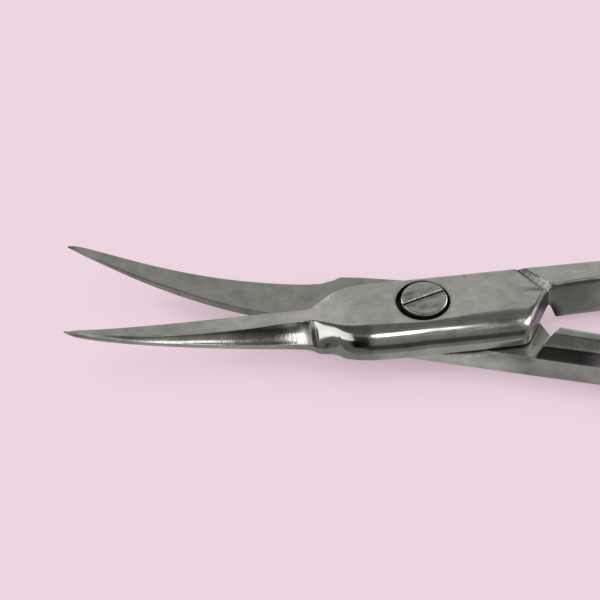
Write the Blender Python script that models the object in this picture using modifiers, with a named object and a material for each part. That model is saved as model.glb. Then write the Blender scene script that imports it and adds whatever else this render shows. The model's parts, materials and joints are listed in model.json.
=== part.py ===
"""Nail scissors with curved blades: two forged halves that turn on one slotted pivot screw.

Sizes are in millimetres and are written into the meshes in metres. +Z is up. The scissors lie on
their back half at Z = 0, the pivot axis is the Z axis, the blades point along -X and the finger
rings along +X. Each half is drawn in its own plan: "along" runs down its length (blades negative,
rings positive), "across" grows towards its cutting edge and its straight outer side, and "height"
is measured from the plane where the halves meet to the half's own outer face.
"""
import math

import bmesh
import bpy
import numpy as np

MM = 0.001

# The whole tool
REST_OPENING = 19.2          # angle in degrees between the two halves as drawn
HALF_THICKNESS = 2.25        # from the meeting plane to a half's flat outer face
PLAY = 0.2                   # gap between the two inner faces
FACE = PLAY / 2              # height of an inner face above the meeting plane

# Blades, curved upwards towards the tip
BLADE_ROOT = 9.5             # distance of the blade's root from the pivot
BLADE_LENGTH = 20.45         # root to tip
BLADE_WIDTH = 4.05           # at the root
BLADE_THICKNESS = 2.05       # at the root's ridge
BEND_START = 12.0            # distance from the pivot where the upward curve begins
TIP_RISE = 2.74              # how far the curve lifts the tip
BEND_RATE = TIP_RISE / (BLADE_ROOT + BLADE_LENGTH - BEND_START) ** 2

# Rows along the blade, tip first: share of its length; spine side, cutting side and ridge as
# shares of its width; heights of ridge, cutting side and spine wall as shares of its thickness
BLADE_ROWS = (
    (1.00, -0.025, 0.025, -0.005, 0.125, 0.095, 0.090),
    (0.95, -0.123, 0.060, -0.045, 0.166, 0.127, 0.117),
    (0.85, -0.165, 0.114, -0.079, 0.244, 0.176, 0.146),
    (0.70, -0.200, 0.215, -0.109, 0.341, 0.263, 0.185),
    (0.55, -0.240, 0.291, -0.104, 0.449, 0.322, 0.220),
    (0.40, -0.296, 0.373, -0.094, 0.561, 0.341, 0.244),
    (0.25, -0.378, 0.435, -0.123, 0.707, 0.341, 0.283),
    (0.12, -0.454, 0.442, -0.148, 0.868, 0.346, 0.322),
    (0.00, -0.568, 0.432, -0.168, 1.000, 0.351, 0.341),
)

# Joint block
BLOCK_OUTER = 2.5            # from the pivot to the straight outer side
BLOCK_INNER = 4.1            # from the pivot to the rounded inner side
BLOCK_WALL = 0.75            # height of the upright wall under the rounded side
RIDGE_ACROSS = 2.05          # from the pivot to the edge of the flat face
RECESS_RIM = 0.3             # least flat face left round the screw's recess
RIM_SPREAD = 2.2             # how far along the block the edge swells round the recess
SHOULDER_LENGTH = 4.7        # from the blade's root to the full block
NOTCH_ALONG = 10.4           # inner corner of the V notch behind the block
NOTCH_ACROSS = -0.05

# Rows along the shoulder: share of its length, then how far each measure has gone from the
# blade's to the block's: inner side, outer side, ridge, ridge height, outer height
SHOULDER_ROWS = (
    (0.085, 0.18, 0.07, 0.04, 0.10, 0.05),
    (0.170, 0.28, 0.20, 0.11, 0.20, 0.12),
    (0.255, 0.33, 0.40, 0.22, 0.30, 0.28),
    (0.350, 0.37, 0.60, 0.40, 0.45, 0.46),
    (0.447, 0.48, 0.80, 0.57, 0.60, 0.65),
    (0.530, 0.66, 0.89, 0.72, 0.75, 0.77),
    (0.640, 0.82, 0.96, 0.85, 0.85, 0.87),
    (0.810, 0.94, 1.00, 0.94, 0.95, 0.95),
)

# Rows along the block: share of the way from the shoulder to the notch, inner side and ridge as
# shares of their distance from the pivot, and how far the wall has risen towards the flat face
BLOCK_ROWS = (
    (0.000, 0.976, 1.03, 0.00), (0.100, 1.000, 1.03, 0.00), (0.217, 1.000, 1.00, 0.00),
    (0.316, 1.000, 1.00, 0.00), (0.414, 0.995, 1.00, 0.00), (0.513, 0.988, 1.00, 0.00),
    (0.645, 0.976, 0.96, 0.00), (0.763, 0.963, 0.91, 0.00), (0.816, 0.927, 0.91, 0.02),
    (0.849, 0.841, 0.88, 0.13), (0.882, 0.707, 0.79, 0.37), (0.947, 0.366, 0.51, 0.76),
)

# Curvature of the face between ridge and inner wall: hollow on the blade, rounded on the block
BLADE_HOLLOW = -0.17
BLOCK_ROUND = 0.15
ROUND_FROM, ROUND_TO = 0.13, 0.49    # shares of the shoulder between which it changes

# Step where the shank grows past the meeting plane, cut at a slant behind the block
STEP_DEPTH = 1.6             # how far the shank reaches past the meeting plane
STEP_OFFSET = 0.1            # from the notch to the start of the step
STEP_SLANT = 0.295           # how much earlier it starts per mm across
STEP_RUN = 0.6               # length of the slope per mm of depth
NOTCH_LIP = 0.3              # from the notch's corner to the edge of the flat face

# Shank section just behind the step, from the inner lower corner round the top: share of the
# block's outer side, then share of the half's thickness above or of the step's depth below
SHANK_SECTION = (
    (0.120, -1.000), (0.176, 0.110), (0.212, 0.900), (0.224, 0.942), (0.244, 0.973),
    (0.272, 0.991), (0.312, 1.000), (0.648, 1.000), (1.000, 1.000), (1.000, 0.556),
    (1.000, 0.111), (0.820, -0.5625), (0.420, -0.9375),
)

# Finger ring: a closed oval whose band is a flat oval in section
HANDLE_LENGTH = 70.0         # from the pivot to the ring's far end
RING_INNER_LENGTH = 25.0
RING_INNER_WIDTH = 20.5
RING_BAND = 3.0              # width of the band in plan
RING_HEIGHT = 3.8
RING_GAP = 1.2               # gap between the two rings when the scissors are shut
RING_POINTS = 8              # Bezier points round the oval
RING_STEPS = 6               # steps between two of them
BAND_SIDES = 14

# Shank from the notch to the ring's middle: shares of that length, start and end of the change
# from the angular section to the oval one, and the size of the end buried in the ring's band
SHANK_SHARES = (0.05, 0.10, 0.17, 0.25, 0.34, 0.44, 0.55, 0.65, 0.75, 0.84, 0.92)
SHANK_OVAL_SHARE = 0.38
SHANK_WIDTH = 2.5            # of the oval section
SHANK_HEIGHT = 3.7
SHANK_END_SHARE = 0.86
OVAL_ANGLES = (225, 190, 160, 145, 130, 115, 100, 72, 45, 10, -25, -60, -98)

# Filed groove across the outer face, through the notch's corner
GROOVE_ANGLE = 121.5         # degrees from the direction of the rings
GROOVE_WIDTH = 0.66
GROOVE_OVERRUN = 1.3         # how far the cutter runs past the notch

# Pivot screw: slotted cheese head in a recess, plain shoulder in the front half, thread below
HEAD_RADIUS = 1.88
HEAD_PROUD = 0.2             # height of the head above the front half's face
HEAD_EDGE = 0.14             # chamfer round the head
RECESS_RADIUS = 2.25
RECESS_DEPTH = 0.95
SEAT_GAP = 0.15              # under the head
SHOULDER_RADIUS = 1.35
THREAD_RADIUS = 1.05
BORE_GAP = 0.1               # running clearance round shoulder and thread
END_CHAMFER = 0.12
SLOT_WIDTH = 0.38
SLOT_DEPTH = 0.42
SLOT_ANGLE = 27.5            # degrees from +X
ROUND_SIDES = 48

STEEL = (0.46, 0.46, 0.44, 1.0)
SCREW_STEEL = (0.40, 0.40, 0.38, 1.0)

# A section's corners, in order: up the inner wall, over the bevel, across the flat face, down the
# outer side and back along the inner face
BEVEL_STEPS = 4
COLUMNS = 9 + BEVEL_STEPS
INNER_FACE = (0, COLUMNS - 3, COLUMNS - 2, COLUMNS - 1)
FACE_SHARES = (0.3, 0.65)    # where the last two lie between the outer and the inner side


def clear_scene():
    for old in list(bpy.data.objects):
        bpy.data.objects.remove(old, do_unlink=True)


def new_collection(name):
    collection = bpy.data.collections.new(name)
    bpy.context.scene.collection.children.link(collection)
    return collection


def steel(name, color, roughness):
    material = bpy.data.materials.new(name)
    material.use_nodes = True
    shader = material.node_tree.nodes["Principled BSDF"]
    shader.inputs["Base Color"].default_value = color
    shader.inputs["Metallic"].default_value = 1.0
    shader.inputs["Roughness"].default_value = roughness
    return material


def add_object(name, mesh, collection, material=None):
    item = bpy.data.objects.new(name, mesh)
    collection.objects.link(item)
    if material:
        mesh.materials.clear()
        mesh.materials.append(material)
    return item


def as_tool(item):
    """Mark an object as a cutter or a guide that only other pieces use."""
    item.hide_render = True
    item.display_type = "WIRE"
    return item


def boolean(item, tool, operation):
    modifier = item.modifiers.new(tool.name, "BOOLEAN")
    modifier.operation = operation
    modifier.solver = "EXACT"
    modifier.object = tool


def bend(along, across):
    """Rise of the surface where the halves meet, the same all round the pivot at one distance."""
    past = np.maximum(np.hypot(along, across) - BEND_START, 0.0)
    return np.where(along < 0, BEND_RATE * past ** 2, 0.0)


def body_ring(along, side, far, ridge, ridge_height, far_height, wall):
    """One section through blade or block, as (along, across, height) of its corners."""
    into_shoulder = (along + BLADE_ROOT) / SHOULDER_LENGTH
    share = min(max((into_shoulder - ROUND_FROM) / (ROUND_TO - ROUND_FROM), 0.0), 1.0)
    curve = BLADE_HOLLOW + (BLOCK_ROUND - BLADE_HOLLOW) * share
    points = [(side, FACE), (side, (FACE + wall) / 2), (side, wall)]
    run, rise = ridge - side, ridge_height - wall
    for step in range(1, BEVEL_STEPS):
        part = step / BEVEL_STEPS
        bulge = 4 * curve * part * (1 - part)
        points.append((side + part * run - bulge * rise, wall + part * rise + bulge * run))
    points += [(ridge, ridge_height), ((ridge + far) / 2, (ridge_height + far_height) / 2),
               (far, far_height), (far, (FACE + far_height) / 2), (far, FACE)]
    points += [(far + part * (side - far), FACE) for part in FACE_SHARES]
    return [(along, across, height) for across, height in points]


def block_ridge(along, share):
    """Edge of the flat face, which swells to leave a rim round the screw's recess."""
    swell = RECESS_RADIUS + RECESS_RIM - RIDGE_ACROSS
    return -(share * RIDGE_ACROSS + swell * math.exp(-(along / RIM_SPREAD) ** 2))


def block_measures(along, side_share, ridge_share, wall_rise):
    """Inner side, outer side, ridge, their heights and the wall's, at one place on the block."""
    wall = BLOCK_WALL + wall_rise * (HALF_THICKNESS - BLOCK_WALL)
    return (-side_share * BLOCK_INNER, BLOCK_OUTER, block_ridge(along, ridge_share),
            HALF_THICKNESS, HALF_THICKNESS, wall)


def body_rings():
    """Sections from the tip to the end of the block."""
    rings = []
    for share, spine, edge, ridge, ridge_height, edge_height, wall in BLADE_ROWS:
        blade = (spine * BLADE_WIDTH, edge * BLADE_WIDTH, ridge * BLADE_WIDTH,
                 ridge_height * BLADE_THICKNESS, edge_height * BLADE_THICKNESS,
                 wall * BLADE_THICKNESS)
        rings.append(body_ring(-(BLADE_ROOT + share * BLADE_LENGTH), *blade))
    shoulder_end = SHOULDER_LENGTH - BLADE_ROOT
    block = block_measures(shoulder_end, *BLOCK_ROWS[0][1:])
    for share, *gone in SHOULDER_ROWS:
        gone.append(share)
        row = [a + (b - a) * part for a, b, part in zip(blade, block, gone)]
        rings.append(body_ring(-BLADE_ROOT + share * SHOULDER_LENGTH, *row))
    for share, *row in BLOCK_ROWS:
        along = shoulder_end + share * (NOTCH_ALONG - shoulder_end)
        rings.append(body_ring(along, *block_measures(along, *row)))
    return rings


def shank_section():
    """Across and height of the angular shank's corners."""
    section = []
    for across, height in SHANK_SECTION:
        depth = HALF_THICKNESS if height > 0 else STEP_DEPTH
        section.append((across * BLOCK_OUTER, height * depth))
    return section


def step_rings():
    """The two sections that bound the slanted step: its foot on the inner face and its top."""
    section = shank_section()
    above = body_ring(NOTCH_ALONG, NOTCH_ACROSS, BLOCK_OUTER, NOTCH_ACROSS + NOTCH_LIP,
                      HALF_THICKNESS, HALF_THICKNESS, section[2][1])
    step_start = NOTCH_ALONG + STEP_OFFSET
    foot, top = [], []
    for column, (across, height) in enumerate(section):
        if column in INNER_FACE:
            foot_across = 0.0 if column == 0 else across
            start = step_start - STEP_SLANT * foot_across
            depth = STEP_DEPTH / 2 if height > 0 else FACE - height
            foot.append((start, foot_across, FACE))
            top.append((start + STEP_RUN * depth, across, height))
        else:
            foot.append(above[column])
            top.append((step_start + STEP_RUN * (FACE + STEP_DEPTH), across, height))
    return [foot, top]


def ring_place(turn):
    """Centre line of the finger ring, as (along, across), at an angle about the ring's middle."""
    half_length = (RING_INNER_LENGTH + RING_BAND) / 2
    half_width = (RING_INNER_WIDTH + RING_BAND) / 2
    middle_along = HANDLE_LENGTH - RING_BAND / 2 - half_length
    middle_across = RING_GAP / 2 + RING_BAND / 2 + half_width
    return np.array([middle_along + half_length * math.cos(turn),
                     middle_across + half_width * math.sin(turn)])


def shank_rings():
    """Sections from the step to the ring: the angular section turns into an oval one."""
    section = shank_section()
    start_across = (section[0][0] + BLOCK_OUTER) / 2
    ring_middle = ring_place(math.radians(90))[0]
    reach = ring_middle - NOTCH_ALONG
    end_turn = -math.acos((SHANK_SHARES[-1] - 1) * reach / (ring_place(0)[0] - ring_middle))
    end_across = ring_place(end_turn)[1]
    rings = []
    for share in SHANK_SHARES:
        part = (share - SHANK_SHARES[0]) / (SHANK_SHARES[-1] - SHANK_SHARES[0])
        centre = start_across + (end_across - start_across) * part * part * (3 - 2 * part)
        mix = min((share - SHANK_SHARES[0]) / (SHANK_OVAL_SHARE - SHANK_SHARES[0]), 1.0)
        mix = mix * mix * (3 - 2 * mix)
        size = SHANK_END_SHARE if share == SHANK_SHARES[-1] else 1.0
        ring = []
        for (across, height), angle in zip(section, OVAL_ANGLES):
            turn = math.radians(angle)
            oval_across = centre + size * SHANK_WIDTH / 2 * math.cos(turn)
            oval_height = size * SHANK_HEIGHT / 2 * math.sin(turn)
            angular = across + centre - start_across
            ring.append((NOTCH_ALONG + share * reach, angular + mix * (oval_across - angular),
                         height + mix * (oval_height - height)))
        rings.append(ring)
    return rings


def half_mesh(name, side):
    """Loft the sections of one half. side is +1 for the half on top and -1 for the one below."""
    rings = np.array(body_rings() + step_rings() + shank_rings())
    along, across, height = rings[..., 0], rings[..., 1], rings[..., 2]
    rise = bend(along, across)
    places = np.stack([along, side * across, rise + side * height], axis=-1).reshape(-1, 3) * MM
    mesh = bpy.data.meshes.new(name)
    bm = bmesh.new()
    corners = [bm.verts.new(place) for place in places]
    count = len(rings)
    for ring in range(count - 1):
        for column in range(COLUMNS):
            after = (column + 1) % COLUMNS
            a, b = ring * COLUMNS + column, ring * COLUMNS + after
            bm.faces.new((corners[a], corners[b], corners[b + COLUMNS], corners[a + COLUMNS]))
    bm.faces.new(corners[:COLUMNS])
    bm.faces.new(corners[-COLUMNS:])
    bmesh.ops.recalc_face_normals(bm, faces=bm.faces)
    bm.to_mesh(mesh)
    bm.free()
    mesh.shade_smooth()
    mesh.set_sharp_from_angle(angle=math.radians(20))
    return mesh


def ring_tool(name, side, tools):
    """Finger ring: an oval curve with an oval profile, made a mesh so that it can be joined on."""
    profile = bpy.data.curves.new(name + "_profile", "CURVE")
    profile.dimensions = "2D"
    spline = profile.splines.new("POLY")
    spline.points.add(BAND_SIDES - 1)
    for index, point in enumerate(spline.points):
        turn = 2 * math.pi * (index + 0.5) / BAND_SIDES
        point.co = (RING_BAND / 2 * math.cos(turn) * MM, RING_HEIGHT / 2 * math.sin(turn) * MM, 0, 1)
    spline.use_cyclic_u = True
    profile_object = as_tool(add_object(name + "_profile", profile, tools))

    curve = bpy.data.curves.new(name + "_path", "CURVE")
    curve.dimensions = "2D"
    curve.resolution_u = RING_STEPS
    curve.bevel_mode = "OBJECT"
    curve.bevel_object = profile_object
    path = curve.splines.new("BEZIER")
    path.bezier_points.add(RING_POINTS - 1)
    path.use_cyclic_u = True
    reach = 4 / 3 * math.tan(math.pi / (2 * RING_POINTS))
    for index, point in enumerate(path.bezier_points):
        turn = 2 * math.pi * index / RING_POINTS
        along, across = ring_place(turn)
        slope = reach * (ring_place(turn + math.pi / 2) - ring_place(turn - math.pi / 2)) / 2
        point.co = (along * MM, side * across * MM, 0)
        point.handle_left = ((along - slope[0]) * MM, side * (across - slope[1]) * MM, 0)
        point.handle_right = ((along + slope[0]) * MM, side * (across + slope[1]) * MM, 0)
    path_object = add_object(name + "_path", curve, tools)

    bpy.context.view_layer.update()
    graph = bpy.context.evaluated_depsgraph_get()
    mesh = bpy.data.meshes.new_from_object(path_object.evaluated_get(graph))
    bm = bmesh.new()
    bm.from_mesh(mesh)
    bmesh.ops.remove_doubles(bm, verts=bm.verts, dist=0.00001)
    bmesh.ops.recalc_face_normals(bm, faces=bm.faces)
    bm.to_mesh(mesh)
    bm.free()
    bpy.data.objects.remove(path_object, do_unlink=True)
    bpy.data.objects.remove(profile_object, do_unlink=True)
    return as_tool(add_object(name, mesh, tools))


def cylinder_tool(name, radius, low, high, tools):
    """Round cutter on the pivot axis between two heights of the half's own frame."""
    mesh = bpy.data.meshes.new(name)
    bm = bmesh.new()
    bmesh.ops.create_cone(bm, cap_ends=True, segments=ROUND_SIDES, radius1=radius * MM,
                          radius2=radius * MM, depth=(high - low) * MM)
    bmesh.ops.translate(bm, verts=bm.verts, vec=(0, 0, (high + low) / 2 * MM))
    bm.to_mesh(mesh)
    bm.free()
    return as_tool(add_object(name, mesh, tools))


def groove_tool(name, side, tools):
    """Square bar laid on one edge, so that it files a V across the half's outer face."""
    turn = math.radians(GROOVE_ANGLE)
    length = (BLOCK_OUTER - NOTCH_ACROSS) / math.sin(turn) + 2 * GROOVE_OVERRUN
    middle = (BLOCK_OUTER - NOTCH_ACROSS) / math.sin(turn) / 2
    bar = GROOVE_WIDTH / math.sqrt(2)
    bpy.ops.mesh.primitive_cube_add(size=1.0)
    tool = bpy.context.object
    tool.name = name
    tool.data.name = name
    for vertex in tool.data.vertices:
        vertex.co = (vertex.co.x * length * MM, vertex.co.y * bar * MM, vertex.co.z * bar * MM)
    for owner in list(tool.users_collection):
        owner.objects.unlink(tool)
    tools.objects.link(tool)
    tool.location = ((NOTCH_ALONG + middle * math.cos(turn)) * MM,
                     side * (NOTCH_ACROSS + middle * math.sin(turn)) * MM,
                     side * HALF_THICKNESS * MM)
    tool.rotation_euler = (math.radians(45), 0, side * turn)
    return as_tool(tool)


def build_half(name, side, bore_radius, parts, tools, material):
    half = add_object(name, half_mesh(name, side), parts, material)
    half.location = (0, 0, HALF_THICKNESS * MM)
    half.rotation_euler = (0, 0, side * math.radians(REST_OPENING / 2))
    cuts = [(ring_tool(name + "_ring", side, tools), "UNION"),
            (groove_tool(name + "_groove", side, tools), "DIFFERENCE"),
            (cylinder_tool(name + "_bore", bore_radius, -2 * HALF_THICKNESS, 2 * HALF_THICKNESS,
                           tools), "DIFFERENCE")]
    if side > 0:
        floor = HALF_THICKNESS - RECESS_DEPTH
        cuts.append((cylinder_tool("head_recess", RECESS_RADIUS, floor, 2 * HALF_THICKNESS, tools),
                     "DIFFERENCE"))
    for tool, operation in cuts:
        tool.parent = half
        boolean(half, tool, operation)
    return half


def build_screw(parts, tools, material):
    """Turned screw: the profile runs down its outer side and turns about the pivot axis."""
    under_head = 2 * HALF_THICKNESS - RECESS_DEPTH + SEAT_GAP
    top = 2 * HALF_THICKNESS + HEAD_PROUD
    shoulder_end = HALF_THICKNESS
    profile = [(0, top), (HEAD_RADIUS - HEAD_EDGE, top), (HEAD_RADIUS, top - HEAD_EDGE),
               (HEAD_RADIUS, under_head), (SHOULDER_RADIUS, under_head),
               (SHOULDER_RADIUS, shoulder_end), (THREAD_RADIUS, shoulder_end),
               (THREAD_RADIUS, END_CHAMFER), (THREAD_RADIUS - END_CHAMFER, 0), (0, 0)]
    mesh = bpy.data.meshes.new("pivot_screw")
    mesh.from_pydata([(radius * MM, 0, height * MM) for radius, height in profile],
                     [(index, index + 1) for index in range(len(profile) - 1)], [])
    screw = add_object("pivot_screw", mesh, parts, material)
    turn = screw.modifiers.new("turned", "SCREW")
    turn.steps = ROUND_SIDES
    turn.render_steps = ROUND_SIDES
    turn.use_merge_vertices = True
    turn.merge_threshold = 0.00001
    turn.use_smooth_shade = False

    bpy.ops.mesh.primitive_cube_add(size=1.0)
    slot = bpy.context.object
    slot.name = "driver_slot"
    slot.data.name = "driver_slot"
    for vertex in slot.data.vertices:
        vertex.co = (vertex.co.x * 4 * HEAD_RADIUS * MM, vertex.co.y * SLOT_WIDTH * MM,
                     vertex.co.z * 2 * SLOT_DEPTH * MM)
    for owner in list(slot.users_collection):
        owner.objects.unlink(slot)
    tools.objects.link(slot)
    slot.location = (0, 0, top * MM)
    slot.rotation_euler = (0, 0, math.radians(SLOT_ANGLE))
    boolean(screw, as_tool(slot), "DIFFERENCE")
    return screw


def build():
    clear_scene()
    parts = new_collection("nail_scissors")
    tools = new_collection("cutters")
    body_steel = steel("polished_steel", STEEL, 0.28)
    screw_steel = steel("screw_steel", SCREW_STEEL, 0.35)
    build_half("front_half", 1, SHOULDER_RADIUS + BORE_GAP, parts, tools, body_steel)
    build_half("back_half", -1, THREAD_RADIUS + BORE_GAP, parts, tools, body_steel)
    build_screw(parts, tools, screw_steel)


build()
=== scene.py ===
# %% [markdown]
# # Nail scissors with curved blades
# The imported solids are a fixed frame: they say where each half and the screw lie and how they turn.
# Everything below makes the fine surface that goes over them. Lengths are written in millimetres
# and turned into metres where a mesh is made, because small parts are easier to read that way.

# %% Load the frame
import json
import math
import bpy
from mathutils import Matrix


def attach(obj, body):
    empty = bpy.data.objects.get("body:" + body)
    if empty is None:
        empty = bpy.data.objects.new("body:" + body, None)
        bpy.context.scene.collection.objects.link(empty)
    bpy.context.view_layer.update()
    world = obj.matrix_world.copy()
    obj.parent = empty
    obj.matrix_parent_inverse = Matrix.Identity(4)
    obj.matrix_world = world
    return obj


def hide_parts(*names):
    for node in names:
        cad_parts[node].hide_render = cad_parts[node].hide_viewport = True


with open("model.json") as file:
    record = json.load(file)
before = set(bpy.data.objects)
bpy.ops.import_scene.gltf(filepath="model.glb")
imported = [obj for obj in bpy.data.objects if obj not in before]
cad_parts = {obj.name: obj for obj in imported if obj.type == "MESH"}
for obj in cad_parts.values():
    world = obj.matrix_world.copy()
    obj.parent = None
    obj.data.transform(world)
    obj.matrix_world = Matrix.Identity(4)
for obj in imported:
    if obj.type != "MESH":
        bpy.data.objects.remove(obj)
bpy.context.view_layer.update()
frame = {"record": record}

from types import SimpleNamespace

import bpy
import numpy as np
from mathutils import Matrix, Vector

MM = 0.001
JOINT = frame["record"]["behaviour"]["joints"][0]
MEETING_PLANE = JOINT["pos_m"][2] / MM      # height of the plane where the two halves meet

# %% [markdown]
# The camera looks down at the joint from the front, 46 degrees above the floor and turned a degree
# and a half. A long lens from far away keeps parallel edges parallel, as in a product close-up.

# %% Camera
VIEW_ELEVATION = 46.0
VIEW_AZIMUTH = 1.5
VIEW_WIDTH = 50.0            # mm of the object across the picture
LENS, SENSOR = 300.0, 36.0
AIM = Vector((-10.22, 1.94, 2.25))      # the point in the middle of the picture


def direction(azimuth, elevation):
    """Unit vector from the object towards a viewer at an azimuth and an elevation in degrees."""
    turn, lift = math.radians(azimuth), math.radians(elevation)
    return Vector((math.sin(turn) * math.cos(lift), -math.cos(turn) * math.cos(lift), math.sin(lift)))


camera_data = bpy.data.cameras.new("close_up")
camera_data.lens, camera_data.sensor_width = LENS, SENSOR
camera_data.clip_start, camera_data.clip_end = 0.01, 20.0
camera = bpy.data.objects.new("close_up", camera_data)
bpy.context.scene.collection.objects.link(camera)
toward_viewer = direction(VIEW_AZIMUTH, VIEW_ELEVATION)
camera.location = (AIM + toward_viewer * VIEW_WIDTH * LENS / SENSOR) * MM
camera.rotation_euler = toward_viewer.to_track_quat("Z", "Y").to_euler()
bpy.context.scene.camera = camera
bpy.context.scene.view_settings.view_transform = "Standard"
print("camera", [round(value, 3) for value in camera.location])

# %% [markdown]
# A material is a tree of nodes joined by links. Adding each node and link by itself takes many lines,
# so a few short helpers come first. The one for Math nodes takes plain numbers as well as outputs of
# other nodes, so that a formula reads nearly as it would on paper.

# %% Helpers for materials and objects
def plain_material(name, colour, roughness):
    """One colour and one roughness, the start of every material here."""
    material = bpy.data.materials.new(name)
    material.use_nodes = True
    shader = material.node_tree.nodes["Principled BSDF"]
    shader.inputs["Base Color"].default_value = colour
    shader.inputs["Roughness"].default_value = roughness
    return material


def link_mesh(name, mesh):
    """Put a mesh into the scene as an object at the origin."""
    item = bpy.data.objects.new(name, mesh)
    bpy.context.scene.collection.objects.link(item)
    return item


def node(tree, kind, **settings):
    """Add one node and set its properties or, where the name is in_ and a number, its inputs."""
    made = tree.nodes.new(kind)
    for name, value in settings.items():
        if name.startswith("in_"):
            made.inputs[int(name[3:])].default_value = value
        else:
            setattr(made, name, value)
    return made


def wire(tree, *pairs):
    """Join each output to its input."""
    for start, end in pairs:
        tree.links.new(start, end)


def maths(tree, operation, *values):
    """A Math node fed with outputs and plain numbers. MULTIPLY_ADD is a x b + c."""
    made = node(tree, "ShaderNodeMath", operation=operation)
    for place, value in zip(made.inputs, values):
        if isinstance(value, float):
            place.default_value = value
        else:
            tree.links.new(value, place)
    return made.outputs[0]


print("helpers for materials, meshes and nodes are ready")

# %% [markdown]
# The scissors lie on one sheet of pale paper. A wide disc keeps its edge out of every view. Lit by the
# lamps alone, its colour would change from place to place. So the camera, and the steel that mirrors
# the paper, see mostly its plain colour, and the lamps' shadows stay faint. The last millimetres
# beside the steel are darkened by how closed in they are.

# %% Floor
FLOOR_COLOUR = (0.858, 0.667, 0.763, 1.0)
FLOOR_RADIUS = 1500.0
FLOOR_DROP = 0.05            # the paper lies this far below the lowest steel
FLOOR_OWN_LIGHT = 0.90       # share of the paper that shows its plain colour
SHADES = ((2.6, 0.42), (4.5, 0.20))     # reach round the steel and strength of its shade

turns = np.linspace(0, 2 * np.pi, 96, endpoint=False)
disc = np.stack([np.cos(turns), np.sin(turns), 0 * turns], axis=1) * FLOOR_RADIUS * MM
floor_mesh = bpy.data.meshes.new("floor")
floor_mesh.from_pydata(disc.tolist(), [], [list(range(len(turns)))])
paper = plain_material("floor_paper", FLOOR_COLOUR, 0.9)
tree = paper.node_tree
lit = tree.nodes["Principled BSDF"]
lit.inputs["Specular IOR Level"].default_value = 0.0
ray = node(tree, "ShaderNodeLightPath")
seen = maths(tree, "MAXIMUM", ray.outputs["Is Camera Ray"], ray.outputs["Is Glossy Ray"])
seen = maths(tree, "MAXIMUM", seen, ray.outputs["Is Transmission Ray"])
openness = 1.0
for reach, depth in SHADES:
    near_by = node(tree, "ShaderNodeAmbientOcclusion", samples=12)
    near_by.inputs["Distance"].default_value = reach * MM
    openness = maths(tree, "MULTIPLY", openness,
                     maths(tree, "MULTIPLY_ADD", near_by.outputs["AO"], depth, 1 - depth))
glow = node(tree, "ShaderNodeEmission", in_0=FLOOR_COLOUR)
mixed = node(tree, "ShaderNodeMixShader")
wire(tree, (maths(tree, "MULTIPLY", seen, FLOOR_OWN_LIGHT), mixed.inputs[0]), (openness, glow.inputs[1]),
     (lit.outputs[0], mixed.inputs[1]), (glow.outputs[0], mixed.inputs[2]),
     (mixed.outputs[0], tree.nodes["Material Output"].inputs["Surface"]))
floor_mesh.materials.append(paper)
floor = link_mesh("floor", floor_mesh)
floor.location.z = -FLOOR_DROP * MM
print("floor of radius", FLOOR_RADIUS, "mm")

# %% [markdown]
# Polished steel has almost no colour of its own: it shows the room. So the room is built with the
# same care as the metal. A grey room, darker overhead than behind, gives flat faces an even tone. The
# black cards and lamps that come next draw the dark and white streaks along the rounded sides.

# %% World
# Level of the room by the slope of a direction: 1 looks straight back, 0 straight up, -1 at the viewer
ROOM = ((-1.0, 0.34), (-0.97, 0.24), (-0.90, 0.20), (-0.74, 0.22), (-0.63, 0.25), (-0.45, 0.32),
        (-0.30, 0.24), (0.0, 0.20), (0.26, 0.16), (0.37, 0.16), (0.54, 0.21), (0.70, 0.52), (1.0, 0.55))


def ramp_stops(ramp, stops):
    """Fill a colour ramp with (position, grey level) stops."""
    while len(ramp.elements) < len(stops):
        ramp.elements.new(0.5)
    for element, (position, level) in zip(ramp.elements, stops):
        element.position = position
        element.color = (level, level, level, 1.0)


world = bpy.data.worlds.new("studio")
bpy.context.scene.world = world
world.use_nodes = True
tree = world.node_tree
tree.nodes.clear()
place = node(tree, "ShaderNodeTexCoord")
split = node(tree, "ShaderNodeSeparateXYZ")
ramp = node(tree, "ShaderNodeValToRGB")
ramp_stops(ramp.color_ramp, [(0.5 + slope / 2, level) for slope, level in ROOM])
wire(tree, (place.outputs["Generated"], split.inputs[0]),
     (maths(tree, "MULTIPLY_ADD", split.outputs["Y"], 0.5, 0.5), ramp.inputs[0]))
print("room of", len(ROOM), "levels")

# %% [markdown]
# Two black cards beside the lens give polished steel its darkest reflections. They are part of the
# room: soft ovals of directions in which the room is almost black.

# %% Black cards
# sideways and from-top angle of the middle, half width, half height (degrees), level
CARDS = ((-4.6, 43.0, 7.6, 24.0, 0.0), (12.0, 65.0, 12.0, 9.0, 0.06))
CARD_NONE, CARD_FULL = 1.5, 0.6         # the card's sum where it begins and where it is full


def sky_direction(sideways, from_top):
    """Unit direction from an angle to the right and an angle from straight up towards the viewer."""
    chi, psi = math.radians(sideways), math.radians(from_top)
    return Vector((math.sin(chi), -math.cos(chi) * math.sin(psi), math.cos(chi) * math.cos(psi)))


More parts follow.
